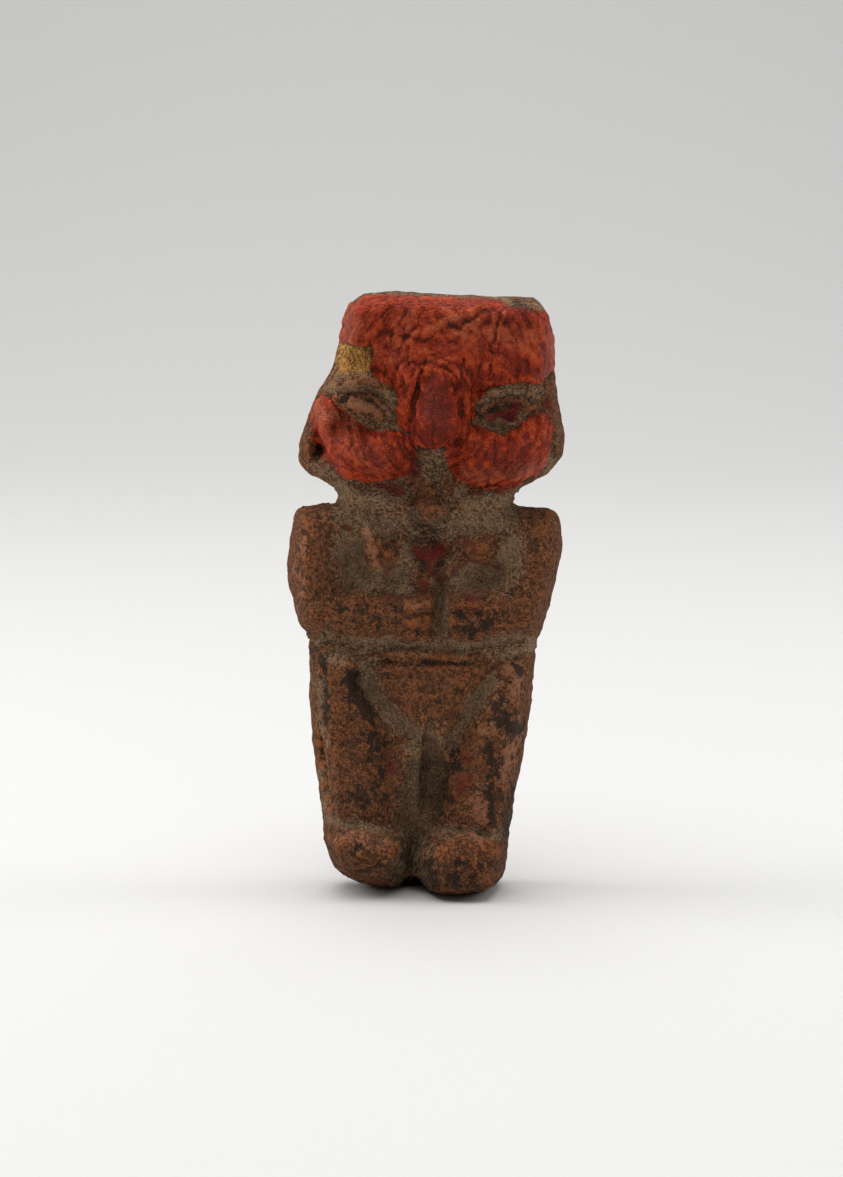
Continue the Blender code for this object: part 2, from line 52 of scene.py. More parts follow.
# What a user would change on the figurine
figurine = {
    "rows": 400,
    "frontColumns": 204,
    "backColumns": 44,
    "softening": 3,  # how often the relief is averaged with its neighbours
    "crispness": 0.22,  # how much prouder the forms stand than they do in the solid, as a share
    "seed": 7,
    # Heights and depths, in hundredths of the figure's height
    "lumps": 0.24,
    "grit": 0.09,
    "pits": 0.2,
    "crumbs": 0.5,
    "paintThickness": 0.14,
    "paintLumps": 0.16,
    "strokeRidges": 0.20,
    "creases": 0.28,
    "creaseWidth": 0.16,  # of the height of the noise whose middle they follow
    "raggedness": 0.45,  # how far the edges of the paint stray
    # How far the places where things are drawn stray, and the size of the waves in which they do
    "formWander": (0.4, 3.0),
    "strokeWander": (0.9, 6.0),
    "lineWander": (0.55, 1.8),
    "markWander": (0.8, 2.0),
    # Noises: the size of the widest waves, how many sizes of wave there are, and what is added to the seed
    "waves": {
        "paintEdge": (1.5, 3, 0),
        "lumps": (4.0, 4, 10),
        "grit": (1.0, 2, 20),
        "pits": (1.3, 2, 30),
        "paintLumps": (1.6, 2, 40),
        "strokeRidges": (1.0, 2, 50),
        "creases": (1.9, 2, 60),
        "creasedPatches": (4.0, 2, 70),
        "crumbs": (0.9, 2, 80),
    },
}

# The outline at the parting line, in pairs of points from the head down to the soles: left x, z, right x, z
outline = (
    (-10.2, 99.7, 18, 99.2),  # corners of the flat top
    (-12, 98.3, 19.3, 98.1),
    (-13.3, 96.2, 20.4, 96),
    (-14.3, 92.3, 21.1, 92),  # forehead
    (-15.3, 87.7, 21.4, 86.8),
    (-17.4, 84.3, 21.8, 83.2),  # temples
    (-19.4, 80.2, 22.5, 79.4),
    (-20.9, 76, 23, 75.5),  # ears
    (-21, 72.8, 22.4, 72.8),
    (-19.6, 70.6, 20.6, 70.6),
    (-17, 69, 18.2, 69),  # jaw
    (-15.1, 67.7, 15.7, 67.5),
    (-14.6, 66.4, 14.6, 66.4),  # neck
    (-15.4, 65.2, 15, 65.1),
    (-18.6, 64.8, 17.8, 64.3),
    (-21.1, 64.3, 20.8, 63.8),  # shoulders
    (-22, 62.5, 22.2, 62.2),
    (-22.8, 58, 22.9, 58),  # upper arms
    (-23.1, 53.6, 22.2, 53.6),
    (-21.5, 45.8, 19.9, 45.8),  # elbows
    (-20, 43.6, 19.1, 43.4),
    (-19.4, 41.3, 18.5, 41.2),  # waist
    (-19.7, 34, 17.8, 33.4),  # hips
    (-19.4, 28, 17.2, 27.4),
    (-18, 16.9, 15.3, 16.6),  # legs
    (-17, 9, 14, 8.6),
    (-15.9, 4.3, 13.4, 3.8),  # feet
    (-13.6, 1.8, 12.6, 1.4),
    (-9.5, 0.1, 10, 0.1),  # edges of the soles
)

# The underside. The feet reach below the level at which the soles are cut flat, and the web stays above it.
rightSoleDrop = 0.55
leftSoleDrop = 0.5
webRise = 1.6
webX = -2.2
webHalfWidth = 1.8
toeLift = 0.17  # the left foot's rise, for each unit that it reaches forward
leftToeRounding = 1.6  # how much further in the edge of the left foot is rounded

# Values that change with height on the figure, as height and value
rowDensity = (
    (0, 2), (8, 1.2), (16, 0.7), (30, 0.9), (43, 1.3), (50, 1.3), (56, 1),
    (62, 1.3), (72, 1.4), (80, 1.3), (87, 1.1), (91, 0.8), (96, 0.9), (100, 2),
)
clayBed = (
    (0, 7.5), (8, 7), (24, 6.4), (42, 7.4), (52, 6.4), (62, 6.2), (72, 7), (86, 6.8), (100, 7.4),
)
backBed = (
    (0, 5.2), (6, 5.5), (20, 6.2), (34, 7), (42, 6.6), (52, 7.2), (66, 5.8), (74, 6.8), (100, 6.2),
)
edgeReach = ((0, 4.6), (10, 4.0), (40, 3.9), (62, 3.8), (66, 3.0), (70, 3.8), (92, 3.6), (100, 2.4))
edgePower = ((90, 2.1), (100, 2.8))

# The top's rise between its corners, as x and rise
topRise = ((-12, 0.1), (-6, 0.6), (0, 0.4), (4, 0.1))


# The value that a table gives at each place, changing evenly between its entries.
def banded(bands, at):
    places, values = zip(*bands)
    return np.interp(at, places, values)


# 0 below low and 1 above high, on a cubic with level ends between them.
def smoothStep(value, low, high):
    share = np.clip((value - low) / (high - low), 0, 1)
    return share * share * (3 - 2 * share)


# The higher of two heights, with the valley between them filled over a height of soft.
def fuse(a, b, soft):
    overlap = np.clip(soft - np.abs(a - b), 0, None)
    return np.maximum(a, b) + overlap**2 / (4 * soft)


# The lower of two heights, with its rim rounded over a height of soft.
def press(a, b, soft):
    return -fuse(-a, -b, soft)


# A mound that is as high as top at its centre and foot at its rim, and goes on falling outside it.
def mound(x, z, centre, radii, top, foot, turn=0.0, square=2.0, crown=2.0):
    angle = math.radians(turn)
    across = (math.cos(angle) * (x - centre[0]) + math.sin(angle) * (z - centre[1])) / radii[0]
    along = (math.cos(angle) * (z - centre[1]) - math.sin(angle) * (x - centre[0])) / radii[1]
    out = (np.abs(across) ** square + np.abs(along) ** square) ** (1 / square)
    return top - (top - foot) * out**crown


# Distance from each point to the line through path, and the share of the line at which it is nearest.
def nearestOn(x, z, path):
    best = np.full(np.shape(x), np.inf)
    share = np.zeros(np.shape(x))
    pieces = len(path) - 1
    for i in range(pieces):
        (ax, az), (bx, bz) = path[i : i + 2]
        s = ((x - ax) * (bx - ax) + (z - az) * (bz - az)) / ((bx - ax) ** 2 + (bz - az) ** 2)
        s = np.clip(s, 0, 1)
        away = np.hypot(x - ax - s * (bx - ax), z - az - s * (bz - az))
        share = np.where(away < best, (i + s) / pieces, share)
        best = np.minimum(away, best)
    return best, share


# A rounded limb along path, whose radius and top change evenly from each point to the next.
def limb(x, z, path, radii, tops, foot, crown=2.0):
    away, share = nearestOn(x, z, path)
    knots = np.linspace(0, 1, len(path))
    top = np.interp(share, knots, tops)
    return top - (top - foot) * (away / np.interp(share, knots, radii)) ** crown


# A bell curve across the line through path, 1 on the line and a third at this width from it.
def bell(x, z, path, width):
    away, _ = nearestOn(x, z, path)
    return np.exp(-((away / width) ** 2))


# The relief with a soft groove drawn along path.
def scored(h, x, z, path, width, depth):
    return h - depth * bell(x, z, path, width)


# The thick flat block over the brow, and the smaller lobe that stands apart from it on the left.
def shapedForehead(h, x, z):
    h = fuse(h, mound(x, z, (7.6, 93.6), (16.2, 8.2), 10.8, 7.2, square=4.5, crown=4), 0.5)
    h = fuse(h, mound(x, z, (-9.7, 95.8), (5.5, 5), 10.6, 6, turn=-15, square=2.8, crown=3), 0.4)
    return scored(h, x, z, ((-9.4, 90.6), (-8.2, 93.2), (-7.6, 96)), 0.9, 1)


# A hollow beside the small lobe on the left, and one beyond the eye on the right.
def shapedTemples(h, x, z):
    h = press(h, mound(x, z, (-12.2, 89.3), (3.8, 2.7), 5.2, 7.8), 0.6)
    return press(h, mound(x, z, (19.2, 82.8), (2, 2.8), 5.4, 7.4), 0.6)


# A small V of lips over a knob of a chin, with the lines of the jaw running down to it.
def shapedMouth(h, x, z):
    leftJaw = ((-14.2, 68.4), (-7.6, 66.6), (-2, 64.6))
    h = fuse(h, limb(x, z, leftJaw, (2.4, 2.4, 2), (7.3, 7.3, 7.6), 6.2), 0.8)
    rightJaw = ((14.2, 68.2), (9, 66.6), (3.6, 64))
    h = fuse(h, limb(x, z, rightJaw, (2.4, 2.4, 2), (7.5, 7.5, 7.6), 6.2), 0.8)
    h = fuse(h, mound(x, z, (1.6, 70.4), (4.8, 5.4), 8.5, 6.8), 0.8)
    lips = ((-1.2, 69.9), (0.2, 68.2), (1.4, 67.5), (2.7, 68.2), (4, 69.9))
    h = fuse(h, limb(x, z, lips, (1, 1.1, 1.3, 1.1, 1), (8.5, 8.8, 9.1, 8.8, 8.5), 7.8), 0.4)
    h = fuse(h, mound(x, z, (0.9, 64.8), (2.9, 2.5), 11.2, 7.2, square=2.3, crown=2.3), 0.3)
    return scored(h, x, z, ((-1.9, 67.1), (0.8, 66.7), (3.9, 67.1)), 0.4, 0.6)


# Two full cheeks, of which the left one runs on up beside the eye.
def shapedCheeks(h, x, z):
    h = fuse(h, mound(x, z, (-9.4, 74.7), (9.4, 5.4), 12, 6.6, turn=-5, square=2.2, crown=2.1), 0.6)
    leftSide = ((-15, 74.6), (-16.3, 77.6), (-16.4, 81.4))
    h = fuse(h, limb(x, z, leftSide, (2.6, 2.4, 1.8), (9.4, 9, 8), 6.8), 0.6)
    return fuse(h, mound(x, z, (12.4, 74.8), (9.5, 5.5), 12.2, 6.6, turn=4, square=2.2, crown=2.1), 0.6)


# Almond eyes in shallow sockets, each under a curved lid.
def shapedEyes(h, x, z):
    h = press(h, mound(x, z, (-10.2, 81.7), (6.4, 4.7), 6.9, 9, turn=-22, crown=3), 0.5)
    h = press(h, mound(x, z, (12.9, 81.8), (5.9, 4.4), 6.8, 9, turn=6, square=2.4, crown=3), 0.4)
    leftLid = ((-16.6, 84.2), (-13.4, 86.1), (-9.4, 86.7), (-6.2, 85.4), (-4.8, 82.4))
    h = fuse(h, limb(x, z, leftLid, (1.1, 1.7, 1.9, 1.6, 1.1), (7.8, 8.6, 8.8, 8.6, 7.9), 6.9), 0.5)
    rightLid = ((8.9, 81.6), (10.4, 83.7), (13.2, 84.6), (16, 83.6), (17, 81.8))
    h = fuse(h, limb(x, z, rightLid, (1, 1.4, 1.6, 1.4, 1), (7.5, 8.1, 8.3, 8, 7.4), 6.8), 0.5)
    h = fuse(h, mound(x, z, (-10.1, 81.2), (5.6, 2.7), 8.7, 6.9, turn=-28, square=1.7, crown=2.6), 0.3)
    return fuse(h, mound(x, z, (12.6, 80.9), (4.2, 2.2), 8.4, 6.8, turn=12, square=1.8, crown=2.6), 0.3)


# A round knob of a brow that runs down on both sides of the long, heavy nose.
def shapedNose(h, x, z):
    brow = ((1.7, 87), (1.7, 82), (1.8, 78.6))
    h = fuse(h, limb(x, z, brow, (7, 6.6, 6), (11.2, 11.3, 10.6), 7.6, crown=3.4), 0.7)
    ridge = ((2.1, 85.4), (2, 82), (1.9, 79.6))
    h = fuse(h, limb(x, z, ridge, (3.2, 3.5, 3.9), (12, 13.2, 13.9), 10.2, crown=2.4), 0.6)
    h = scored(h, x, z, ((-0.6, 86.4), (-2, 82.4), (-2.4, 79), (-1.6, 76.2)), 0.6, 1)
    return scored(h, x, z, ((4.6, 86.4), (5.7, 82.4), (6, 79), (5, 76.2)), 0.6, 1)


# Two flat ears at the edges of the face, the left one with a deep hole.
def shapedEars(h, x, z):
    h = press(h, mound(x, z, (-18.9, 74.9), (1.6, 3.6), 4.6, 6.6), 0.5)
    h = press(h, mound(x, z, (-17.9, 74.8), (0.9, 1.6), 2.4, 5.6), 0.5)
    leftRim = ((-19.2, 78.4), (-20.2, 75), (-19.2, 71.8))
    h = fuse(h, limb(x, z, leftRim, (1.2, 1.3, 1.3), (6.8, 6.6, 6.4), 4.6), 0.5)
    h = press(h, mound(x, z, (20.9, 76.4), (0.8, 4), 6, 7.8, turn=-4), 0.5)
    rightRim = ((21.3, 80.2), (22, 76.6), (21.4, 73))
    return fuse(h, limb(x, z, rightRim, (1.1, 1.1, 1.1), (7.4, 7.2, 7), 5.4), 0.5)


# Small breasts over the hollows between the bent arms.
def shapedChest(h, x, z):
    h = press(h, mound(x, z, (-12.5, 55), (4.2, 4.8), 4, 6.8), 0.7)
    h = press(h, mound(x, z, (10.4, 53.4), (5.4, 3.2), 4.8, 6.8), 0.7)
    h = press(h, mound(x, z, (-4.8, 53.4), (3.6, 2), 5, 6.8), 0.6)
    h = fuse(h, mound(x, z, (-8.5, 58.4), (2.6, 4.4), 8.6, 6.4, turn=8), 0.6)
    h = fuse(h, mound(x, z, (-6.1, 57.3), (1.4, 1.8), 9.4, 7.2, turn=20), 0.4)
    h = fuse(h, mound(x, z, (9.3, 58.7), (3.2, 2.9), 8.9, 6.4), 0.6)
    h = fuse(h, mound(x, z, (0.3, 57.6), (2.6, 3.4), 7.3, 6.4), 0.6)
    return scored(h, x, z, ((4.5, 54.4), (7, 56.3), (9.6, 55.9), (11.6, 55)), 0.45, 0.5)


# Upper arms along the sides, and forearms across the body to hands that nearly meet.
def shapedArms(h, x, z):
    leftUpper = ((-18, 62.4), (-19, 57), (-18.3, 50.2))
    h = fuse(h, limb(x, z, leftUpper, (4.4, 4.6, 4.5), (8, 8.9, 9.5), 6), 0.8)
    rightUpper = ((17.9, 61.4), (18.6, 56.5), (17.2, 50.4))
    h = fuse(h, limb(x, z, rightUpper, (4.6, 5, 4.6), (7.8, 8.8, 9.3), 6), 0.8)
    leftLower = ((-18, 48), (-11, 47), (-2.4, 46.4))
    h = fuse(h, limb(x, z, leftLower, (4.1, 4, 3.7), (10, 10.1, 9.7), 6.4, crown=2.2), 0.6)
    rightLower = ((16.8, 48.6), (10.7, 47), (5.4, 46.6))
    h = fuse(h, limb(x, z, rightLower, (4.3, 4.2, 3.8), (9.7, 10, 9.6), 6.4, crown=2.2), 0.6)
    for fingerZ, top in ((49, 10.3), (46.6, 10.4), (44.5, 9.4)):
        leftFinger = ((-2.9, fingerZ - 0.2), (0.8, fingerZ + 0.1))
        h = fuse(h, limb(x, z, leftFinger, (1.3, 1), (top, top - 0.5), 8.4, crown=1.6), 0.5)
        rightFinger = ((4.4, fingerZ + 0.1), (8.8, fingerZ - 0.1))
        h = fuse(h, limb(x, z, rightFinger, (1, 1.3), (top - 0.5, top), 8.4, crown=1.6), 0.5)
    return scored(h, x, z, ((2.6, 53), (2.4, 48.5), (2.2, 44.6)), 1, 2.2)


# The pinched waist, and the two cords of the belt under it.
def shapedWaist(h, x, z):
    crease = ((-19.6, 44.4), (-15, 43), (-8, 42.2), (0, 41.9), (9, 42.2), (14, 43), (19, 44))
    h = scored(h, x, z, crease, 1, 0.5)
    upperCord = ((-6, 40.8), (-2.2, 40.3), (1.6, 40.7), (5.4, 40.2))
    h = fuse(h, limb(x, z, upperCord, (0.7, 1.1, 1, 0.7), (8.2, 8.4, 8.4, 8.2), 7.6), 0.5)
    lowerCord = ((-9.8, 37.9), (-4, 38.6), (2, 38.2), (7, 38.4), (12, 37.6))
    return fuse(h, limb(x, z, lowerCord, (0.8, 1.1, 1.2, 1.1, 0.8), (8.3, 8.6, 8.7, 8.6, 8.3), 7.6), 0.5)


# Two thick legs, with a nub on the left hip and a pit under it.
def shapedLegs(h, x, z):
    left = ((-14.2, 37.4), (-12.8, 28), (-11, 18), (-10.6, 9))
    h = fuse(h, limb(x, z, left, (4.4, 5.8, 6.2, 5.8), (9.3, 9.8, 9.4, 9), 6, crown=2.4), 0.7)
    right = ((13.3, 36.6), (11.2, 28), (8.9, 18), (7.2, 8.6))
    h = fuse(h, limb(x, z, right, (3.8, 5.2, 5.6, 5.6), (9.1, 9.6, 9.3, 9), 6, crown=2.4), 0.7)
    h = fuse(h, mound(x, z, (-13.4, 39.2), (2.4, 1.5), 9.9, 8.2), 0.4)
    return press(h, mound(x, z, (-11.4, 36.6), (1.2, 2.2), 6.4, 8.6, turn=-10), 0.5)


# The belly, which narrows to a blunt point, with a groove along each groin.
def shapedBelly(h, x, z):
    point = mound(x, z, (1.4, 36), (10.2, 11), 9.5, 7.2, square=1.3, crown=3)
    band = mound(x, z, (1.4, 30), (30, 8.6), 9.5, 7.4, crown=6)
    h = fuse(h, np.minimum(point, band), 0.4)
    leftGroin = ((-10.2, 37.6), (-8.9, 34.4), (-6.7, 31.1), (-3.6, 28.2), (-0.6, 26.6))
    h = scored(h, x, z, leftGroin, 1.4, 1.5)
    h = scored(h, x, z, ((11, 36.6), (8.7, 33.2), (6.2, 29.4), (3.7, 25.6)), 1.4, 1.4)
    return scored(h, x, z, ((0.9, 29.8), (0.8, 26)), 0.5, 1)


# The hollow between the legs, deepest in a cleft beside the right leg.
def shapedHollow(h, x, z):
    middle = ((0.4, 26), (-0.7, 20.5), (-1, 16.8), (-1.8, 12.5), (-2.4, 8), (-2.4, 1))
    floors = (6.6, 3.8, 2.8, 2.4, 2, 2)
    h = press(h, limb(x, z, middle, (1.4, 4, 4.4, 3.9, 2.9, 2), floors, 8.8, crown=2.6), 0.8)
    cleft = ((0.9, 25.5), (1.3, 21), (1.1, 17), (0, 13))
    return press(h, limb(x, z, cleft, (0.8, 2.4, 2.6, 2), (4.4, 1.6, 0.8, 1.8), 5.4), 1.4)


# Two blunt feet that jut forward.
def shapedFeet(h, x, z):
    left = mound(x, z, (-10.7, 5.4), (6.8, 7.3), 12.7, 8.2, turn=-8, square=2.5, crown=3)
    right = mound(x, z, (6.6, 4), (7.4, 6.8), 13.9, 8.2, turn=-5, square=2.5, crown=3)
    h = scored(h, x, z, ((-16.4, 12.7), (-11, 13), (-6.4, 11.2)), 1, 0.8)
    h = scored(h, x, z, ((1, 10), (4, 11.2), (9, 11), (13.4, 9.8)), 1, 0.8)
    return fuse(h, np.maximum(left, right), 0.3)


# Height of the moulded front over the parting line, before its edges are rounded.
def frontRelief(x, z):
    forehead = shapedForehead, shapedTemples
    face = shapedMouth, shapedCheeks, shapedEyes, shapedNose, shapedEars
    trunk = shapedChest, shapedArms, shapedWaist
    legs = shapedLegs, shapedBelly, shapedHollow, shapedFeet
    h = banded(clayBed, z)
    for shaped in forehead + face + trunk + legs:
        h = shaped(h, x, z)
    return h


# Height of the wiped back behind the parting line: slightly domed, with a channel down its middle.
def backRelief(x, z):
    dome = banded(backBed, z) - 0.9 * (x / 20) ** 2
    channel = np.exp(-((x / 3.2) ** 2)) * smoothStep(z, 8, 30) * smoothStep(-z, -64, -50)
    return dome - 0.5 * channel


# 1 at the sole of the left foot, falling to 0 beside and above it.
def leftFoot(x, z):
    return smoothStep(-x, 1.5, 5) * smoothStep(-z, -11, -2)


# Share of the relief that is left this far inside the outline, as a quarter of a superellipse.
def roundedEdge(away, x, z):
    reach = banded(edgeReach, z) + leftToeRounding * leftFoot(x, z)
    power = banded(edgePower, z)
    inside = np.clip(away / reach, 0, 1)
    return (1 - (1 - inside) ** power) ** (1 / power)


# Both ends of rows, on a Catmull-Rom curve through the outline's pairs, at fractional pair numbers.
def outlineAt(at):
    pairs = np.array(outline)
    pairs = np.vstack([2 * pairs[0] - pairs[1], pairs, 2 * pairs[-1] - pairs[-2]])
    start = np.clip(np.floor(at).astype(int), 0, len(outline) - 2)
    s = (at - start)[:, None]
    a, b, c, d = (pairs[start + k] for k in range(4))
    return 0.5 * (2 * b + (c - a) * s + (2 * a - 5 * b + 4 * c - d) * s**2 + (3 * b - a - 3 * c + d) * s**3)


# x and z of points along rows, from -1 at the left outline to 1 at the right. The end rows are bent.
def rowPoints(at, across):
    ends = outlineAt(at)
    share = (across + 1) / 2
    x = ends[:, 0:1] * (1 - share) + ends[:, 2:3] * share
    z = ends[:, 1:2] * (1 - share) + ends[:, 3:4] * share
    inner = 1 - across**8
    web = np.exp(-(((x - webX) / webHalfWidth) ** 4))
    drop = rightSoleDrop + (leftSoleDrop - rightSoleDrop) * smoothStep(-x, 1, 4)
    bottom = smoothStep(-z, -9, 0) * (webRise * web - drop * (1 - web))
    return x, z + inner * (bottom + smoothStep(z, 94, 99) * banded(topRise, x))


# The painted areas, each a closed line of x and z
redForehead = (
    (-15.5, 92.6), (-16.5, 97), (-12, 101.5), (9.5, 101), (12, 98.9), (16, 97.9), (18, 97.3),
    (20.6, 96.6), (24, 96.4), (24.5, 88), (21.3, 87.3), (18.6, 85.8), (15.2, 86.1), (11.9, 85.5),
    (9.6, 84.2), (8.2, 82), (8.4, 79.8), (6.4, 77.6), (3.4, 75.3), (0.9, 75.2), (-2, 76.2),
    (-4.6, 79), (-4.3, 83), (-5.8, 85.4), (-8.5, 86.7), (-8.9, 88.4), (-8.7, 90.4), (-9.4, 91.2),
    (-11.7, 91.7),
)
redLeftCheek = (
    (-18.9, 79.6), (-18.4, 82.5), (-16.6, 83.5), (-14.6, 83.2), (-13.6, 81.6), (-12.1, 79.9), (-9.6, 78.3),
    (-5.4, 78), (-1, 77.5), (-1.4, 75), (-2.9, 72.4), (-3.2, 70.4), (-5.4, 69.5), (-9.1, 69.4),
    (-12.4, 69.7), (-15.1, 71.2), (-17.1, 73.6), (-18.5, 76.4),
)
redRightCheek = (
    (4.4, 78.5), (8.4, 79.1), (9.9, 78.3), (12.6, 77.7), (14.6, 78.3), (16.6, 79.6), (18.6, 80.8),
    (20.3, 80.8), (21, 78.4), (20.7, 76), (20.2, 73.5), (18.9, 70.4), (15.2, 68.8), (11.2, 68.2),
    (7.6, 68.5), (5.2, 69.8), (4.4, 71.5), (3.2, 73.5), (3, 75.5),
)
ochreTemple = (
    (-14.6, 92.6), (-9.2, 91.4), (-8.6, 88.2), (-10.2, 87.4), (-13.2, 87), (-15.2, 86.2), (-15.2, 89.6),
)

noseLine = (1.6, 77.5, 85.5)  # x, and z of its ends: the brush strokes run round it
browRings = {"x": 1.4, "z": 84.6, "height": 0.17, "spacing": 1.2}  # ridges of paint over the nose

# Marks on the clay, each the points of a line, how far it reaches from the line, and how dense it is
crimsonLines = (
    ((-2.4, 73.8), (-2, 71), 1.7, 1),
    ((-7.6, 68.8), (-4, 68.2), 1.2, 1),
    ((9, 68.3), (17, 69.2), 0.9, 0.8),
    ((-0.4, 57.4), (1.4, 57.8), 1.8, 1.1),
    ((0.8, 56.4), (1.2, 54.4), (3.2, 53.4), 0.9, 0.9),
    ((-0.4, 52.4), (0.4, 51.6), 1.4, 0.8),
    ((-13, 62.2), (-12.6, 61.8), 0.7, 1),
    ((-6.6, 56.4), (-5.8, 54.8), 0.9, 0.8),
    ((-13.4, 80.2), (-12, 79.4), 0.7, 0.9),
    ((11, 80), (13.6, 80.4), (14.6, 82), 1.2, 1.1),
    ((4.6, 54.6), (7, 56.2), (9.6, 55.9), (11.6, 55), 0.6, 0.9),
    ((6.2, 51.8), (8, 50.6), 1.2, 0.8),
    ((4.8, 49.2), (8, 48.8), 0.9, 0.7),
    ((-6.8, 50.4), (-4.4, 49.8), 0.9, 0.7),
    ((7.6, 24.6), (7.4, 23.4), 1.1, 0.8),
    ((6.4, 20.2), (5.2, 17), 1.3, 0.8),
    ((-6.6, 24.4), (-6, 21), 1.3, 0.7),
    ((6.4, 60.2), (8, 59.4), 0.8, 0.7),
    ((20.4, 82.2), (20.9, 79.4), 0.8, 0.9),
)
# Real black blotches, as on the left hip and the right thigh, and painted shade: on and beside the nose, over
# the brow and the inner cheeks, under the cheeks, the nose and the chin, on the lower fronts of the feet and
# in the hollow between the legs
stainAndShadeLines = (
    ((-13.6, 83), (-12.8, 82.6), 0.5, 0.5),
    ((-6.8, 75.6), (-3.4, 73.6), 2.2, 0.6),
    ((5.8, 74.4), (9, 75.2), 2.2, 0.5),
    ((10.8, 81.6), (13.6, 81.2), 0.7, 0.7),
    ((15.4, 99.4), (16.8, 98), 1, 0.9),
    ((-12.6, 37), (-11.8, 34.6), (-9.8, 31.6), 1.7, 1.1),
    ((13.4, 30), (14.8, 28.4), 1.6, 1.1),
    ((12.4, 34.6), (11.8, 31.8), 0.8, 0.9),
    ((10.4, 25), (11, 21.6), 0.9, 0.9),
    ((10.9, 18.8), (11.3, 16), (11.1, 13.2), 0.9, 0.9),
    ((1.6, 83.6), (1.8, 78.4), 3, 1.2),
    ((-1.4, 61), (0.6, 56), 3, 0.6),
    ((7.6, 75.6), (14, 72.6), (17.4, 74.6), 3, 0.6),
    ((7, 87.2), (19, 88.2), 1.6, 0.5),
    ((1.6, 76), (1.6, 70), 2.4, 0.3),
    ((-2.2, 77), (-1.8, 73), 1.8, 0.6),
    ((5.2, 77), (5.4, 72), 2, 0.6),
    ((-6, 68.8), (10, 68.8), 1.6, 0.2),
    ((-16.4, 48), (-6, 47.2), 2.2, 0.35),
    ((5.4, 46.4), (10.4, 46.4), 2.2, 0.5),
    ((-12.6, 17.6), (-8.4, 17.4), 2.4, 0.4),
    ((3, 4.6), (8.4, 3.6), 2.4, 0.4),
    ((-14.6, 76.6), (-7, 73), 3.2, 0.4),
    ((-2.6, 63.6), (0.6, 62.2), (3.8, 63.6), 0.6, 0.9),
    ((14.4, 17), (14.4, 9), 1.3, 1),
    ((4.4, 23.6), (5, 21.4), 1, 0.8),
    ((14.8, 39.2), (15.4, 38.2), 0.7, 1),
    ((14.8, 73), (15.2, 71.8), 0.6, 1),
    ((-8.8, 27), (-8, 21), 1.4, 0.6),
    ((-17, 36), (-16.4, 30), 1, 0.7),
    ((-18, 42), (-17.4, 39), 1.2, 0.6),
    ((0.6, 6.6), (1.6, 3), 0.8, 0.8),
    ((-11.8, 3.4), (-7.4, 4.6), 0.5, 1),
    ((0.4, 25.8), (0.9, 22), 1.2, 0.5),
    ((1.3, 21.4), (1.8, 14), 3.2, 0.4),
    ((-8.4, 39.3), (3, 39.3), 0.5, 0.25),
    ((-2.4, 8), (-2, 5), 1.4, 0.9),
)
# Real pale patches on the right thigh, and painted light: on the tops of the feet, over the forehead and the
# lobe beside it, on the left eye, its lid and the top of the left cheek, along the outer edge of the left
# arm, on the ridge by the left breast and on the upper cord of the belt
paleAndLitLines = (
    ((14.6, 39), (15.2, 35.6), 2.2, 0.95),
    ((12.8, 33.4), (10.4, 28.4), 2, 0.85),
    ((13.8, 26.4), (12.9, 20.6), 1.8, 0.95),
    ((9.2, 18.4), (8.8, 13.4), 1.7, 0.85),
    ((15.8, 30), (15.4, 24), 1, 0.9),
    ((-9.6, 61.6), (-8.6, 56.4), 1, 0.8),
    ((-3.2, 49.4), (0.6, 49.4), 0.8, 0.7),
    ((-12.4, 82.6), (-8.2, 80.6), 1.7, 1),
    ((-13.6, 84.8), (-8.6, 84.6), (-7, 82.4), 1.8, 0.8),
    ((-13.6, 9.8), (-8, 9.6), 2, 0.9),
    ((-3.8, 11.2), (2.8, 10.6), (10.4, 10.6), 1.8, 1.2),
    ((-17.4, 80.6), (-12.2, 79.4), 1.8, 0.9),
    ((4, 95.6), (16, 93.4), 3.6, 0.6),
    ((-3, 96.4), (-5.6, 90.4), 2.6, 0.5),
    ((-15.6, 78.6), (-8, 73.4), 3.2, 0.5),
    ((-13.4, 96.6), (-12, 93.8), 2.6, 0.65),
    ((7, 70.4), (17.4, 71.6), 2.2, 0.7),
    ((20.4, 91), (20.6, 96), 1.6, 0.6),
    ((-9, 41), (0, 41.2), (8.8, 41), 0.5, 0.7),
    ((8.6, 60.4), (11, 59), 1, 0.4),
    ((15.1, 57.8), (15.3, 55.6), 0.5, 1),
    ((16, 54.4), (16.4, 51.8), 0.5, 0.8),
    ((2.6, 12.6), (9.4, 12.2), 1.3, 0.6),
    ((-20.6, 61), (-21.4, 54), (-20.6, 49), 0.9, 0.7),
)
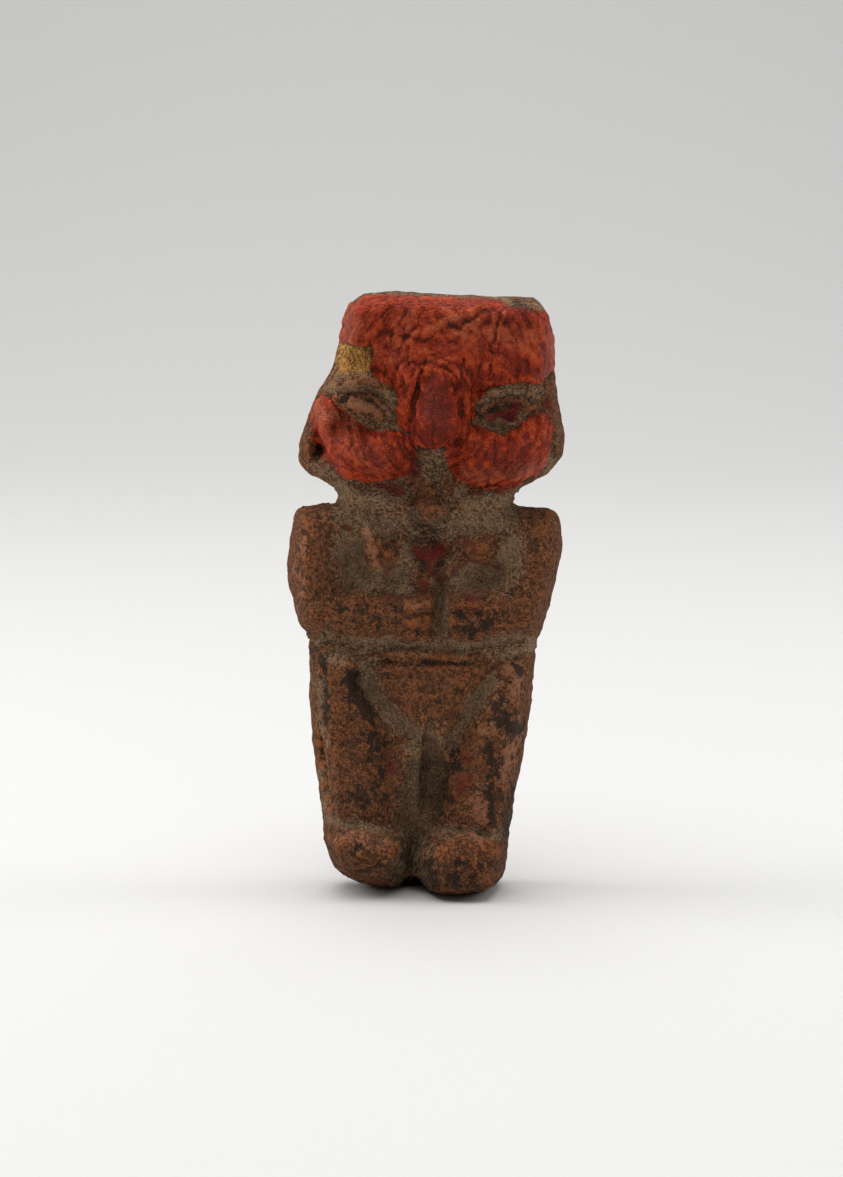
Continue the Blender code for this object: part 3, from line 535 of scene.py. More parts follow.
soilLines = (
    ((12, 99.8), (19.6, 97.8), 1.2, 1),
    ((-15, 67.6), (-9, 66.8), (-4.4, 67.2), 2.6, 1),
    ((14.6, 67.4), (9, 66), (6, 66.8), 2.4, 0.9),
    ((1.6, 74.2), (1.6, 70.4), 2.4, 0.75),
    ((-14.6, 63.6), (-6.4, 62.4), (1, 62), (7, 62.6), (14, 63), 3.2, 0.8),
    ((-12.8, 59), (-12.4, 54.6), (-5, 53.4), 3.2, 1.1),
    ((-2.6, 58.6), (-2.6, 54.4), 1.8, 0.8),
    ((5, 53.4), (12.6, 54), (14.6, 58.6), 2.8, 1),
    ((2.5, 53.6), (2.4, 44.6), 1.2, 1.1),
    ((-17, 43.2), (-8, 42), (0, 42), (9, 42.2), (17.6, 42.8), 1.5, 0.9),
    ((-16, 41), (-8.6, 39.8), 1.7, 0.7),
    ((13, 41.2), (17.6, 42), 1.9, 0.9),
    ((-10, 38.6), (-9.2, 35), (-6.9, 31.6), (-3.6, 28.6), (-0.8, 26.6), 1.9, 1),
    ((11.2, 36.6), (8.8, 33), (6.2, 29.2), (3.9, 25.8), 1.6, 1),
    ((0.4, 26.4), (-0.4, 21), (-1.2, 15), (-2.2, 8), (-2.4, 0), 4, 1.2),
    ((-15.4, 84.6), (-10.4, 85.6), (-6, 83.6), (-5.2, 79.6), (-8, 78), (-12, 79.6), 1.3, 0.75),
    ((-14, 86.8), (-8.6, 87.2), 1.3, 0.8),
    ((8.8, 82.4), (11, 84.2), (14, 84.8), (18.4, 83.6), 1.4, 0.85),
    ((9.4, 79.6), (12.4, 78.8), (16, 80.2), 0.9, 1),
    ((20.6, 80), (21, 75), (19.8, 71.6), 1.2, 0.8),
    ((-18, 72), (-15.4, 69.8), 1.6, 0.8),
    ((-16, 13), (-11, 12.6), (-6.2, 11), 1.2, 0.7),
    ((2, 11), (8, 11.6), (13.4, 10.6), 1.3, 0.7),
    ((14.2, 9.6), (15.4, 18), 1.4, 0.7),
    ((-17.4, 14), (-17.2, 28), (-18, 36), 1, 0.8),
)

marks = {"crimson": crimsonLines, "dark": stainAndShadeLines, "light": paleAndLitLines, "soil": soilLines}

# Narrow ridges and grooves, each the points of a line, its width, and its height, below 0 for a groove
fineLines = (
    ((-14.8, 83.6), (-12.3, 85), (-9.9, 85.1), (-7.8, 84), (-6.2, 82), (-5.4, 79.8), 0.45, -0.05),
    ((-14.5, 82.9), (-13.6, 81.6), (-12.1, 80.3), (-10.1, 79.1), (-8.1, 78.4), (-6.6, 78.8), 0.45, 0.4),
    ((-14.4, 83), (-12.4, 84.1), (-10.7, 84.2), (-8.7, 83.4), (-7.1, 81.7), (-6.2, 80), 0.4, 0.35),
    ((-13.4, 82.6), (-11, 82.9), (-8.6, 82.2), (-7.2, 80.6), (-7.6, 79.6), (-10.2, 80), 0.3, -0.1),
    ((9, 81.6), (10.7, 83.6), (13.2, 84.1), (15.6, 83.8), (17.2, 82.6), 0.45, -0.35),
    ((9.4, 80.9), (11.9, 79.4), (13.9, 79.1), (15.9, 80.1), (17.6, 81.7), 0.45, 0.55),
    ((9.5, 81.1), (11.2, 82.9), (13.2, 83.3), (15.2, 83), (16.6, 82), 0.4, 0.5),
    ((10.2, 81), (11.8, 82), (14, 82.2), (15.4, 81.4), (14.2, 80.2), (11.8, 80.1), 0.3, -0.2),
    ((-0.1, 89.4), (-1.2, 86.2), (-2.1, 82.4), (-2.6, 79.6), 0.4, -0.5),
    ((12, 97), (11.3, 94), (11.2, 90.5), (10.2, 87.3), 0.4, -0.45),
    ((12.6, 96.6), (12.1, 93.6), (12, 90.6), 0.7, 0.25),
    ((9.9, 98.6), (5.2, 97), (1.2, 94.8), (-2.1, 93.2), 0.45, 0.3),
    ((10.9, 97.6), (6.6, 96), (3.2, 94.4), (-0.1, 93), 0.35, -0.3),
    ((8.8, 96), (5.6, 94.6), (3.4, 92.9), 0.4, 0.25),
    ((-2.6, 91.4), (-4.4, 88.6), (-3.6, 85), (-2.8, 82), 0.45, -0.35),
    ((5.9, 89.4), (6.4, 85), (6.1, 80.5), 0.4, -0.35),
    ((-9.6, 90.8), (-8.6, 92.6), (-7.4, 93.8), (-3.6, 93.6), (-0.6, 92.6), 0.45, -0.4),
    ((-18.1, 26), (-17.6, 22.5), (-17.2, 19), (-16.6, 15.5), 0.35, -1.8),
    ((-16.6, 39), (-16.9, 30), (-16.2, 20), (-15.6, 14), 0.5, -0.35),
    ((-14, 9.4), (-8.6, 9.6), (-6.6, 8), 2, 1.3),
    ((3.6, 8.4), (6.2, 9.4), (10.4, 8.8), 2, 1.3),
    ((-2.6, 63.2), (0.6, 61.8), (3.8, 63.2), 0.5, -0.7),
    ((-12.8, 50.4), (-9.4, 50.1), (-5.6, 50.7), 0.8, 0.3),
    ((-14.2, 62), (-14.6, 57), (-13.6, 52.6), 0.8, 0.3),
    ((0.4, 26), (0.8, 21), 1.1, -0.6),
    ((0.9, 20.6), (0.9, 15), 2.2, -0.8),
    ((-17, 80.2), (-14.8, 80.6), 1.8, 0.5),
    ((-13.6, 82.9), (-11.2, 82.6), 1.2, 0.4),
    ((-11.4, 82), (-8.4, 80.8), 1.5, 0.4),
    ((-14, 85.2), (-10.5, 86.2), (-7, 84.8), (-5.6, 81.8), 1.4, 0.6),
    ((9.6, 84), (13, 85.6), (17, 84.6), 1.2, 0.45),
    ((-12.4, 58.4), (-11.8, 54.6), (-8.2, 53.6), 2, -0.35),
    ((-9.4, 61.4), (-8.6, 58.6), (-8, 55.6), 0.9, 0.5),
    ((5.6, 53.6), (12.4, 54.8), 1.5, -0.4),
    ((-9, 40.7), (0, 40.9), (8.4, 40.7), 0.4, 0.3),
    ((-8.6, 39.5), (0, 39.4), (6.4, 39.6), 0.35, -0.22),
    ((-8.2, 38.5), (0, 38.4), (5, 38.6), 0.4, 0.2),
    ((1.2, 30.2), (0.9, 28.4), (0.3, 26.4), 0.4, -0.6),
)

# Where crumbs of clay and soil cling
crumbLines = (
    ((-15.6, 67.6), (-14.6, 66.2), (-17, 64.8), 1.2, 1),
    ((15.4, 67.2), (14.6, 66), (17.2, 64.4), 1, 1),
    ((-20, 43.4), (-19.2, 41.2), 1, 0.8),
    ((18.8, 43.2), (18.4, 41), 0.8, 0.6),
)


# Smooth random heights from -1 to 1: random numbers on a lattice, blended by smooth steps between corners.
def latticeNoise(points, size, seed):
    cells = 32
    lattice = np.random.default_rng(seed).uniform(-1, 1, (cells, cells, cells))
    corner = np.floor(points / size).astype(int)
    s = points / size - corner
    s = s * s * (3 - 2 * s)
    total = 0
    for step in np.ndindex(2, 2, 2):
        weight = np.prod(np.where(step, s, 1 - s), axis=-1)
        i, j, k = np.moveaxis((corner + step) % cells, -1, 0)
        total = total + weight * lattice[i, j, k]
    return total


# Sum of lattice noises, each with half the size and half the height of the one before, turned between them.
def roughNoise(points, size, octaves, seed):
    turn = np.array([[0.36, 0.48, -0.8], [-0.8, 0.6, 0.0], [0.48, 0.64, 0.6]])
    total = 0
    for octave in range(octaves):
        total = total + latticeNoise(points, size / 2**octave, seed + octave) / 2**octave
        points = points @ turn
    return total


# The noise of the figurine that has this name.
def namedNoise(points, name):
    size, octaves, added = figurine["waves"][name]
    return roughNoise(points, size, octaves, figurine["seed"] + added)


# Distance to a closed line, positive inside it and negative outside.
def insideDistance(x, z, line):
    loop = line + line[:1]
    away, _ = nearestOn(x, z, loop)
    crossings = 0
    for (ax, az), (bx, bz) in zip(loop[:-1], loop[1:]):
        between = (az > z) != (bz > z)
        level = bz - az if bz != az else 1
        crossings = crossings + (between & (x < ax + (z - az) * (bx - ax) / level))
    return np.where(crossings % 2 == 1, away, -away)


# The highest of bell curves along lines.
def lined(x, z, lines):
    total = 0
    for *line, reach, density in lines:
        total = np.maximum(total, density * bell(x, z, line, reach))
    return total


# The sum of bell curves along lines, up for ridges and down for grooves.
def drawnAlong(x, z, lines):
    return sum(height * bell(x, z, line, width) for *line, width, height in lines)


# How far across and along the brush strokes each point lies: away from the line of the nose, and round it.
def strokeField(x, z):
    x, z = wandering(x, z, *figurine["strokeWander"])
    nearest = np.clip(z, *noseLine[1:])
    beside = x - noseLine[0]
    across = np.hypot(beside, z - nearest)
    along = across * np.arctan2(beside, z - nearest) + np.sign(beside) * (noseLine[2] - nearest)
    return across, along


# Distances along a section are spaced evenly: fine steps are added up and shared out among the places.
def evenPlaces(count, offset, at, step):
    along = np.concatenate([[0], np.cumsum(step)])
    return np.interp((np.arange(count) + offset) / count * along[-1], along, at)


# How rows and columns crowd together where the clay curves over at its edges
sideReach = 0.17  # of half the width, over which the sides curve
frontSideRise = 0.36  # of half the width, as is the next
backSideRise = 0.28
endReach = 3.4  # over which the top and the soles curve
endRise = 7.5  # how high they stand there
endPower = 2.4  # of the superellipse on which they curve
sideWeight = 0.6  # of the steps along the sides, against those down the middle


# Where columns cross each row, from -1 to 1, evenly spaced over a section whose ends curve to the outline.
def columnPlaces(count, rise):
    across = -np.cos(np.linspace(0, math.pi, 4001))
    inside = np.clip((1 - np.abs(across)) / sideReach, 0, 1)
    height = rise * np.sqrt(1 - (1 - inside) ** 2)
    return evenPlaces(count, 0, across, np.hypot(np.diff(across), np.diff(height)))


# Where rows lie, as fractional pair numbers of the outline, evenly spaced over ends that curve to the edges.
def rowPlaces(count):
    at = (len(outline) - 1) * (1 - np.cos(np.linspace(0, math.pi, 6001))) / 2
    x, z = rowPoints(at, np.array([[-1.0, 0.0, 1.0]]))
    travel = np.hypot(np.diff(x, axis=0), np.diff(z, axis=0))
    step = np.hypot(travel[:, 1], sideWeight * np.maximum(travel[:, 0], travel[:, 2]))
    down = np.cumsum(step)
    inside = np.clip(np.minimum(down, down[-1] - down) / endReach, 0, 1)
    height = endRise * (1 - (1 - inside) ** endPower) ** (1 / endPower)
    step = np.hypot(step, np.diff(height, prepend=0))
    return evenPlaces(count, 0.5, at, step * banded(rowDensity, z[1:, 1]))


# Distance from points to the outline, taken as a closed line of short pieces.
def inwardDistance(x, z):
    at = np.linspace(0, len(outline) - 1, 200)
    sides = np.stack(rowPoints(at, np.array([[-1.0, 1.0]])), axis=-1)
    ends = np.stack(rowPoints(at[[0, -1]], np.linspace(-1, 1, 60)[None, :]), axis=-1)
    loop = np.vstack([sides[:, 0], ends[1, 1:-1], sides[::-1, 1], ends[0, -2::-1]])
    away, _ = nearestOn(x, z, loop)
    return away


# The bare clay: a grid of points in rows from the top, each going over the front and then back behind. The
# relief is read at places that wander a little, and is then softened, as in a worn mould.
def claySurface():
    front = columnPlaces(figurine["frontColumns"], frontSideRise)
    back = -columnPlaces(figurine["backColumns"], backSideRise)
    across = np.concatenate([front, back])[None, :]
    x, z = rowPoints(rowPlaces(figurine["rows"]), across)
    away = np.where(np.abs(across) < 1, inwardDistance(x, z), 0)
    behind = np.arange(across.size) > figurine["frontColumns"]
    wanderX, wanderZ = wandering(x, z, *figurine["formWander"])
    relief = np.where(behind, backRelief(x, z), -frontRelief(wanderX, wanderZ))
    y = blurred(relief, figurine["softening"]) * roundedEdge(away, x, z)
    lifted = z + toeLift * np.clip(-y, 0, None) * leftFoot(x, z)
    return np.stack([x, y, lifted], axis=-1), x, z


# Places moved aside by up to about this step, in smooth random waves of this size.
def wandering(x, z, step, size):
    flat = np.stack([x, z, 0 * x], axis=-1)
    moveX = roughNoise(flat, size, 3, figurine["seed"] + 60)
    moveZ = roughNoise(flat, size, 3, figurine["seed"] + 70)
    return x + step * moveX, z + step * moveZ


# Directions square to a closed grid, outwards.
def outward(points):
    down = np.gradient(points, axis=0)
    around = np.roll(points, -1, axis=1) - np.roll(points, 1, axis=1)
    normal = np.cross(down, around)
    return normal / np.maximum(np.linalg.norm(normal, axis=-1, keepdims=True), 1e-9)


# The grid averaged with its neighbours again and again, rows at the ends repeated.
def blurred(grid, times):
    for _ in range(times):
        grid = (np.roll(grid, 1, axis=1) + 2 * grid + np.roll(grid, -1, axis=1)) / 4
        tall = np.concatenate([grid[:1], grid, grid[-1:]])
        grid = (tall[:-2] + 2 * grid + tall[2:]) / 4
    return grid


# Round ridges of paint over the nose: a wave in the distance from its middle, fading beside and beyond it.
def browRidges(x, z):
    across, up = x - browRings["x"], z - browRings["z"]
    away = np.hypot(across, up)
    turn = np.arctan2(up, across)
    reach = smoothStep(away, 2.2, 3.4) * smoothStep(-away, -7.4, -6.0) * smoothStep(np.sin(turn), -0.3, 0.3)
    bent = 1.6 * np.sin(2.3 * turn) + 0.7 * np.sin(5.1 * turn)
    return browRings["height"] * np.sin(away * math.tau / browRings["spacing"] + bent) * reach


# Height of the paint on the clay: lumps, ridges along the brush strokes, and creases where a noise passes 0.
def paintRelief(points, across, along):
    stroke = np.stack([across, along * 0.4, 0 * along], axis=-1)
    offNose = smoothStep(across, 0.6, 2.2)
    paint = figurine["paintThickness"] + figurine["paintLumps"] * namedNoise(points, "paintLumps")
    paint = paint + figurine["strokeRidges"] * namedNoise(stroke, "strokeRidges") * offNose
    crease = namedNoise(stroke * (1.0, 1.3, 1.0), "creases")
    wrinkled = smoothStep(namedNoise(points, "creasedPatches"), -0.6, 0.4) * offNose
    return paint - figurine["creases"] * np.exp(-((crease / figurine["creaseWidth"]) ** 2)) * wrinkled


# Height of the clay's grains less its pits, which lie where a noise is high.
def clayGrit(points):
    pits = smoothStep(namedNoise(points, "pits"), 0.55, 1.1)
    return figurine["grit"] * namedNoise(points, "grit") - figurine["pits"] * pits


# The finished surface and the fields that its material reads, on one grid. Each point moves outwards by a
# share of how far it stands over the surface round it, and by the lumps, the grit or paint, and the lines.
def finishedSurface():
    points, x, z = claySurface()
    normal = outward(points)
    standing = np.sum((points - blurred(points, 60)) * normal, axis=-1)
    behind = np.clip(points[..., 1], 0, None)
    facing = 1 - smoothStep(behind, 0.0, 0.8)
    onTop = smoothStep(z, 97.6, 99.0) * smoothStep(points[..., 1], -5.8, -3.8)
    ragged = figurine["raggedness"] * namedNoise(points, "paintEdge")
    red = np.maximum(insideDistance(x, z, redForehead), insideDistance(x, z, redLeftCheek))
    red = np.maximum(red, insideDistance(x, z, redRightCheek)) + ragged - 6 * behind - 4 * onTop
    coat = smoothStep(red, -0.1, 0.35)
    across, along = strokeField(x, z)
    lineX, lineZ = wandering(x, z, *figurine["lineWander"])
    lumps = figurine["lumps"] * namedNoise(points, "lumps")
    crumbs = lined(x, z, crumbLines) * np.clip(namedNoise(points, "crumbs"), 0, None)
    paint = paintRelief(points, across, along) + browRidges(lineX, lineZ)
    relief = figurine["crispness"] * standing + lumps + clayGrit(points) * (1 - coat) + paint * coat
    relief = relief + (drawnAlong(lineX, lineZ, fineLines) + figurine["crumbs"] * crumbs) * facing
    points = points + relief[..., None] * normal
    markX, markZ = wandering(x, z, *figurine["markWander"])
    fields = {name: lined(markX, markZ, lines) * facing for name, lines in marks.items()}
    fields["soil"] = np.maximum(fields["soil"], 0.6 * onTop)
    fields["red"] = red
    fields["ochre"] = insideDistance(x, z, ochreTemple) + ragged - 6 * behind
    fields["high"] = np.clip(standing, -2.0, 0.9)
    # How far each point stands over the fine relief round it: the colours use it for painted light on the
    # crests and painted shade in the troughs, and for more soil in the troughs
    fields["ridge"] = (relief - blurred(relief, 8)) / 0.15
    fields["foot"] = smoothStep(-z, -12.5, -9.5)
    fields["stroke"] = np.stack([across, along, 0 * along], axis=-1)
    return points, fields


# Points in metres, fitted to the box of the solid and standing on its soles.
def fitted(points):
    x, y, z = np.moveaxis(points, -1, 0)
    z = np.maximum(z, 0)
    x = lowest.x + (x - x.min()) * (highest.x - lowest.x) / (x.max() - x.min())
    depth = highest.y - lowest.y
    y = np.where(y < 0, -y * frontShare / y.min(), y * (1 - frontShare) / y.max())
    y = lowest.y + (y + frontShare) * depth
    return np.stack([x, y, lowest.z + z * (highest.z - lowest.z) / z.max()], axis=-1)


# A closed mesh of a grid whose rows are rings: faces between rings, and a face over each end.
def ringMesh(name, points):
    rows, columns = points.shape[:2]
    number = np.arange(rows * columns).reshape(rows, columns)
    beside = np.roll(number, -1, axis=1)
    faces = np.stack([number[:-1], number[1:], beside[1:], beside[:-1]], axis=-1).reshape(-1, 4)
    ends = [number[0].tolist(), number[-1, ::-1].tolist()]
    mesh = bpy.data.meshes.new(name)
    mesh.from_pydata(points.reshape(-1, 3).tolist(), [], faces.tolist() + ends)
    mesh.shade_smooth()
    return mesh


# One value or one vector for each point of the mesh, under the name by which the material reads it.
def addField(mesh, name, values):
    kind = "FLOAT_VECTOR" if values.ndim == 3 else "FLOAT"
    field = mesh.attributes.new(name, kind, "POINT")
    field.data.foreach_set("vector" if values.ndim == 3 else "value", values.ravel())


# A wire in a material's node tree. Arithmetic on it adds Math nodes, and node adds any other kind, from its
# type, its settings, and the values or wires for its sockets.
class Wire:
    def __init__(self, tree, socket):
        self.tree = tree
        self.socket = socket

    def node(self, kind, settings, values, output=0):
        made = self.tree.nodes.new(kind)
        for name, value in settings.items():
            setattr(made, name, value)
        for name, value in values.items():
            if isinstance(value, Wire):
                self.tree.links.new(value.socket, made.inputs[name])
            else:
                made.inputs[name].default_value = value
        return Wire(self.tree, made.outputs[output])

    def feed(self, socket):
        self.tree.links.new(self.socket, socket)

    def maths(self, operation, *values):
        return self.node("ShaderNodeMath", {"operation": operation}, dict(enumerate(values)))

    def __add__(self, other):
        return self.maths("ADD", self, other)

    __radd__ = __add__

    def __mul__(self, other):
        return self.maths("MULTIPLY", self, other)

    __rmul__ = __mul__

    def __sub__(self, other):
        return self.maths("SUBTRACT", self, other)

    def __rsub__(self, other):
        return self.maths("SUBTRACT", other, self)

    # 0 below low and 1 above high, with a smooth step between.
    def between(self, low, high):
        values = {"Value": self, "From Min": low, "From Max": high}
        return self.node("ShaderNodeMapRange", {"interpolation_type": "SMOOTHSTEP"}, values)

    # A vector multiplied by the factors, one for each direction.
    def scaled(self, factors):
        return self.node("ShaderNodeVectorMath", {"operation": "MULTIPLY"}, {0: self, 1: factors})

    def noise(self, scale, detail, roughness, output=0):
        values = {"Vector": self, "Scale": scale, "Detail": detail, "Roughness": roughness}
        return self.node("ShaderNodeTexNoise", {}, values, output)

    # What the mesh carries under this name: a number, or a vector from output 1.
    def field(self, name, output=2):
        return self.node("ShaderNodeAttribute", {"attribute_name": name}, {}, output)

    # The colours a and b mixed by this share of b.
    def mix(self, a, b):
        return self.node("ShaderNodeMix", {"data_type": "RGBA"}, {0: self, 6: a, 7: b}, 2)


# A new material, with its shader and the places on its object in metres.
def newMaterial(name):
    material = bpy.data.materials.new(name)
    material.use_nodes = True
    tree = material.node_tree
    metres = Wire(tree, tree.nodes.new("ShaderNodeTexCoord").outputs["Object"])
    return material, tree.nodes["Principled BSDF"], metres


# What a user would change in the clay and its paint: the colours
clayColours = {
    "brown": (0.087, 0.036, 0.016, 1),
    "terracotta": (0.241, 0.090, 0.038, 1),
    "orange": (0.347, 0.099, 0.025, 1),
    "light": (0.336, 0.140, 0.074, 1),
    "black": (0.029, 0.019, 0.013, 1),
    "darkSoil": (0.132, 0.083, 0.047, 1),
    "soil": (0.336, 0.217, 0.121, 1),
    "red": (0.392, 0.036, 0.009, 1),
    "darkRed": (0.168, 0.018, 0.007, 1),
    "vermilion": (0.594, 0.083, 0.016, 1),
    # The colour of the painted highlights on the paint's crests
    "highlightRed": (0.582, 0.123, 0.062, 1),
    "flake": (0.067, 0.031, 0.016, 1),
    "crimson": (0.146, 0.010, 0.011, 1),
    "ochre": (0.717, 0.347, 0.078, 1),
    "darkOchre": (0.224, 0.118, 0.036, 1),
    "grit": (0.515, 0.381, 0.246, 1),
}

# How strongly each kind of wear, colour, painted light and painted shade covers what is under it, from 0 to 1
coverage = {
    "worn": 0.8,
    "pale": 0.85,
    "blackenedAndShaded": 0.9,
    "soil": 0.92,
    "bright": 0.75,
    "paintedHighlight": 0.7,
    "dustAndPaintedLight": 0.5,
    "flaked": 0.85,
    "crimson": 0.8,
    "crack": 0.75,
    "grit": 0.6,
}

# The noises that the colours share: how many waves to each hundredth of the height, detail and roughness
grains = {
    "speck": (3.0, 2, 0.6),
    "grain": (1.3, 3, 0.62),
    "mottle": (0.38, 4, 0.64),
    "clump": (0.75, 4, 0.68),
    "fibre": (2.6, 3, 0.66),
    "grit": (4.2, 2, 0.5),
}


# Fired clay: brown and terracotta grains, orange where worn, paler in some patches and black in others. The
# paler colour is also painted light under the light marks, and the black is also painted shade under the dark
# marks.
# Fine ridges are painted lighter and troughs darker, as painted light and shade.
def bareClay(place, speck, grain, mottle):
    clump = place.noise(*grains["clump"])
    colour = clayColours
    high = place.field("high")
    ridge = place.field("ridge")
    clay = (grain * 0.5 + speck * 0.5 + ridge * 0.04).between(0.43, 0.60)
    clay = clay.mix(colour["brown"], colour["terracotta"])
    worn = mottle * 0.5 + grain * 0.2 + speck * 0.3 + high * 0.06 + ridge * 0.05 + place.field("foot") * 0.03
    worn = worn.between(0.51, 0.67) * coverage["worn"]
    clay = worn.mix(clay, colour["orange"])
    # Paler clay in patches, and painted light where the light marks fall
    pale = place.field("light") * 0.26 + mottle * 0.4 + grain * 0.4 + speck * 0.2 + ridge * 0.02
    clay = (pale.between(0.60, 0.76) * coverage["pale"]).mix(clay, colour["light"])
    # Blackened clay, and painted shade where the dark marks fall and in the troughs
    blackenedAndShaded = place.field("dark") * 0.16 + mottle * 0.15 + clump * 0.5 + (1 - speck) * 0.35 - ridge * 0.05
    return (blackenedAndShaded.between(0.51, 0.60) * coverage["blackenedAndShaded"]).mix(clay, colour["black"])


# Fine soil, thickest in the hollows and thin enough elsewhere for the clay to show through its grains. It is
# painted lighter on fine ridges and darker under the dark marks, as painted light and shade, and thins under
# the dark marks so that the painted shade of the clay shows.
def soiledClay(place, skin, speck, grain, mottle):
    colour = clayColours
    dark = place.field("dark")
    soil = (speck * 0.7 + grain * 0.3 + place.field("ridge") * 0.05 - dark * 0.14).between(0.35, 0.64)
    soil = soil.mix(colour["darkSoil"], colour["soil"])
    depth = place.field("soil") * 0.85 - place.field("high") * 0.20
    depth = depth - dark * 0.25 - place.field("ridge") * 0.10 + (speck - 0.5) * 1.1
    depth = depth + (mottle - 0.5) * 0.9 + (grain - 0.5) * 0.9
    return (depth.between(0.15, 0.85) * coverage["soil"]).mix(skin, soil)


# Thick red paint in fine strokes, dark in the specks where it has flaked. It has painted highlights on the
# crests, is painted brighter on ridges and darker in troughs and under the dark marks, as painted light and
# shade, and is paled by dust, which under the light marks is painted light as well.
def redPaint(place, fibre, speck, grain, mottle):
    colour = clayColours
    ridge = place.field("ridge")
    shade = place.field("dark") * 0.12
    red = (fibre * 0.35 + grain * 0.25 + mottle * 0.4 + ridge * 0.08 - shade).between(0.36, 0.56)
    red = red.mix(colour["darkRed"], colour["red"])
    bright = mottle * 0.7 + grain * 0.3 + fibre * 0.2 + ridge * 0.06 + place.field("light") * 0.04 - shade
    bright = bright.between(0.58, 0.76) * coverage["bright"]
    red = bright.mix(red, colour["vermilion"])
    # Painted highlights: pale glints on the crests of the strokes
    paintedHighlight = (fibre * 0.4 + speck * 0.4 + grain * 0.2 + ridge * 0.10 - shade).between(0.58, 0.76)
    paintedHighlight = paintedHighlight * coverage["paintedHighlight"]
    red = paintedHighlight.mix(red, colour["highlightRed"])
    # Dust, and painted light where the light marks fall
    dustAndPaintedLight = place.field("light") * 0.3 + speck * 0.3 + mottle * 0.3 + ridge * 0.05
    red = (dustAndPaintedLight.between(0.35, 0.80) * coverage["dustAndPaintedLight"]).mix(red, colour["soil"])
    flaked = (1 - speck) * 0.4 + (1 - fibre) * 0.2 + (1 - grain) * 0.2 + (1 - mottle) * 0.2 - ridge * 0.08
    return (flaked.between(0.59, 0.67) * coverage["flaked"]).mix(red, colour["flake"])


# Fine cracks over the feet: the edges of cells two hundredths across, bent by a noise and broken off.
def footCracks(place, grain, mottle):
    bend = place.noise(0.9, 3, 0.5, 1).scaled((2.4, 2.4, 2.4))
    bent = place.node("ShaderNodeVectorMath", {"operation": "ADD"}, {0: place, 1: bend})
    edges = {"feature": "DISTANCE_TO_EDGE"}
    cells = place.node("ShaderNodeTexVoronoi", edges, {"Vector": bent, "Scale": 0.5})
    crack = (1 - cells.between(0.02, 0.11)) * (mottle + grain * 0.5).between(0.64, 0.78)
    return crack * place.field("foot")


# Clay, with soil, ochre, crimson and the red paint over it, then cracks and loose grit. The finest grain and
# brush marks are a bump.
def paintedClay():
    material, shader, metres = newMaterial("painted_clay")
    colour = clayColours
    place = metres.scaled((1 / unit, 1 / unit, 1 / unit))
    speck = place.noise(*grains["speck"])
    grain = place.noise(*grains["grain"])
    mottle = place.noise(*grains["mottle"])
    stroke = place.field("stroke", 1).scaled((1.0, 0.5, 1.0))
    fibre = stroke.noise(*grains["fibre"])

    skin = bareClay(place, speck, grain, mottle)
    skin = soiledClay(place, skin, speck, grain, mottle)
    ochre = (fibre * 0.7 + speck * 0.3).between(0.40, 0.62).mix(colour["darkOchre"], colour["ochre"])
    yellowed = place.field("ochre") * 0.7 + (grain - 0.5) * 2.0 + (speck - 0.5)
    skin = yellowed.between(-0.2, 0.6).mix(skin, ochre)
    crimson = place.field("crimson") * 0.7 + (mottle - 0.5) * 0.8 + (grain - 0.5) * 1.6 + (speck - 0.5) * 1.2
    skin = (crimson.between(0.28, 0.78) * coverage["crimson"]).mix(skin, colour["crimson"])
    covered = (place.field("red") + (grain - 0.5) * 1.4 + (speck - 0.5) * 1.2).between(-0.10, 0.12)
    skin = covered.mix(skin, redPaint(place, fibre, speck, grain, mottle))

    crack = footCracks(place, grain, mottle)
    skin = (crack * coverage["crack"]).mix(skin, colour["black"])
    grit = place.noise(*grains["grit"]).between(0.69, 0.76)
    skin = (grit * coverage["grit"]).mix(skin, colour["grit"])

    coarse = place.noise(1.3, 1, 0.5) * 0.55 + place.noise(2.6, 1, 0.5) * 0.36
    strokes = (stroke.noise(1.9, 1, 0.5) - 0.5) * 0.45 + (place.noise(2.4, 2, 0.6) - 0.5) * 0.4
    height = coarse + strokes * covered - crack * 0.25
    bump = height.node("ShaderNodeBump", {}, {"Strength": 1.0, "Distance": unit, "Height": height})
    roughness = 0.85 - covered * 0.35 + (grain - 0.5) * 0.2
    skin.feed(shader.inputs["Base Color"])
    roughness.feed(shader.inputs["Roughness"])
    bump.feed(shader.inputs["Normal"])
    shader.inputs["Specular IOR Level"].default_value = 0.16
    return material


# A new object in the scene, at the origin.
def placed(name, data):
    made = bpy.data.objects.new(name, data)
    bpy.context.scene.collection.objects.link(made)
    return made


# The one piece: the surface in its painted clay, with the fields that its material reads, attached to the
# root body in place of the solid, which is hidden.
def buildFigurine():
    points, fields = finishedSurface()
    print("surface ready")
    mesh = ringMesh("painted_figurine", fitted(points))
    for name, values in fields.items():
        addField(mesh, name, values)
    mesh.materials.append(paintedClay())
    piece = placed("painted_figurine", mesh)
    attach(piece, "root")
    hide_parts("figurine")
    print("figurine ready", len(mesh.polygons))


# Plain pale paper that lies flat under the figure and curves up far behind it
paper = {
    "halfWidth": 5.0,
    "front": -4.0,
    "bend": 0.55,  # where it starts to rise
    "bendRadius": 1.1,
    "top": 2.0,
    "darker": (0.765, 0.76, 0.747, 1),
    "paler": (0.80, 0.796, 0.783, 1),
    "fibres": 900.0,  # to a metre
}


# Matt paper, mottled faintly.
def paperMaterial():
    material, shader, metres = newMaterial("pale_paper")
    faint = metres.noise(paper["fibres"], 4, 0.6).mix(paper["darker"], paper["paler"])
    faint.feed(shader.inputs["Base Color"])
    shader.inputs["Roughness"].default_value = 0.9
    shader.inputs["Specular IOR Level"].default_value = 0.1
    return material


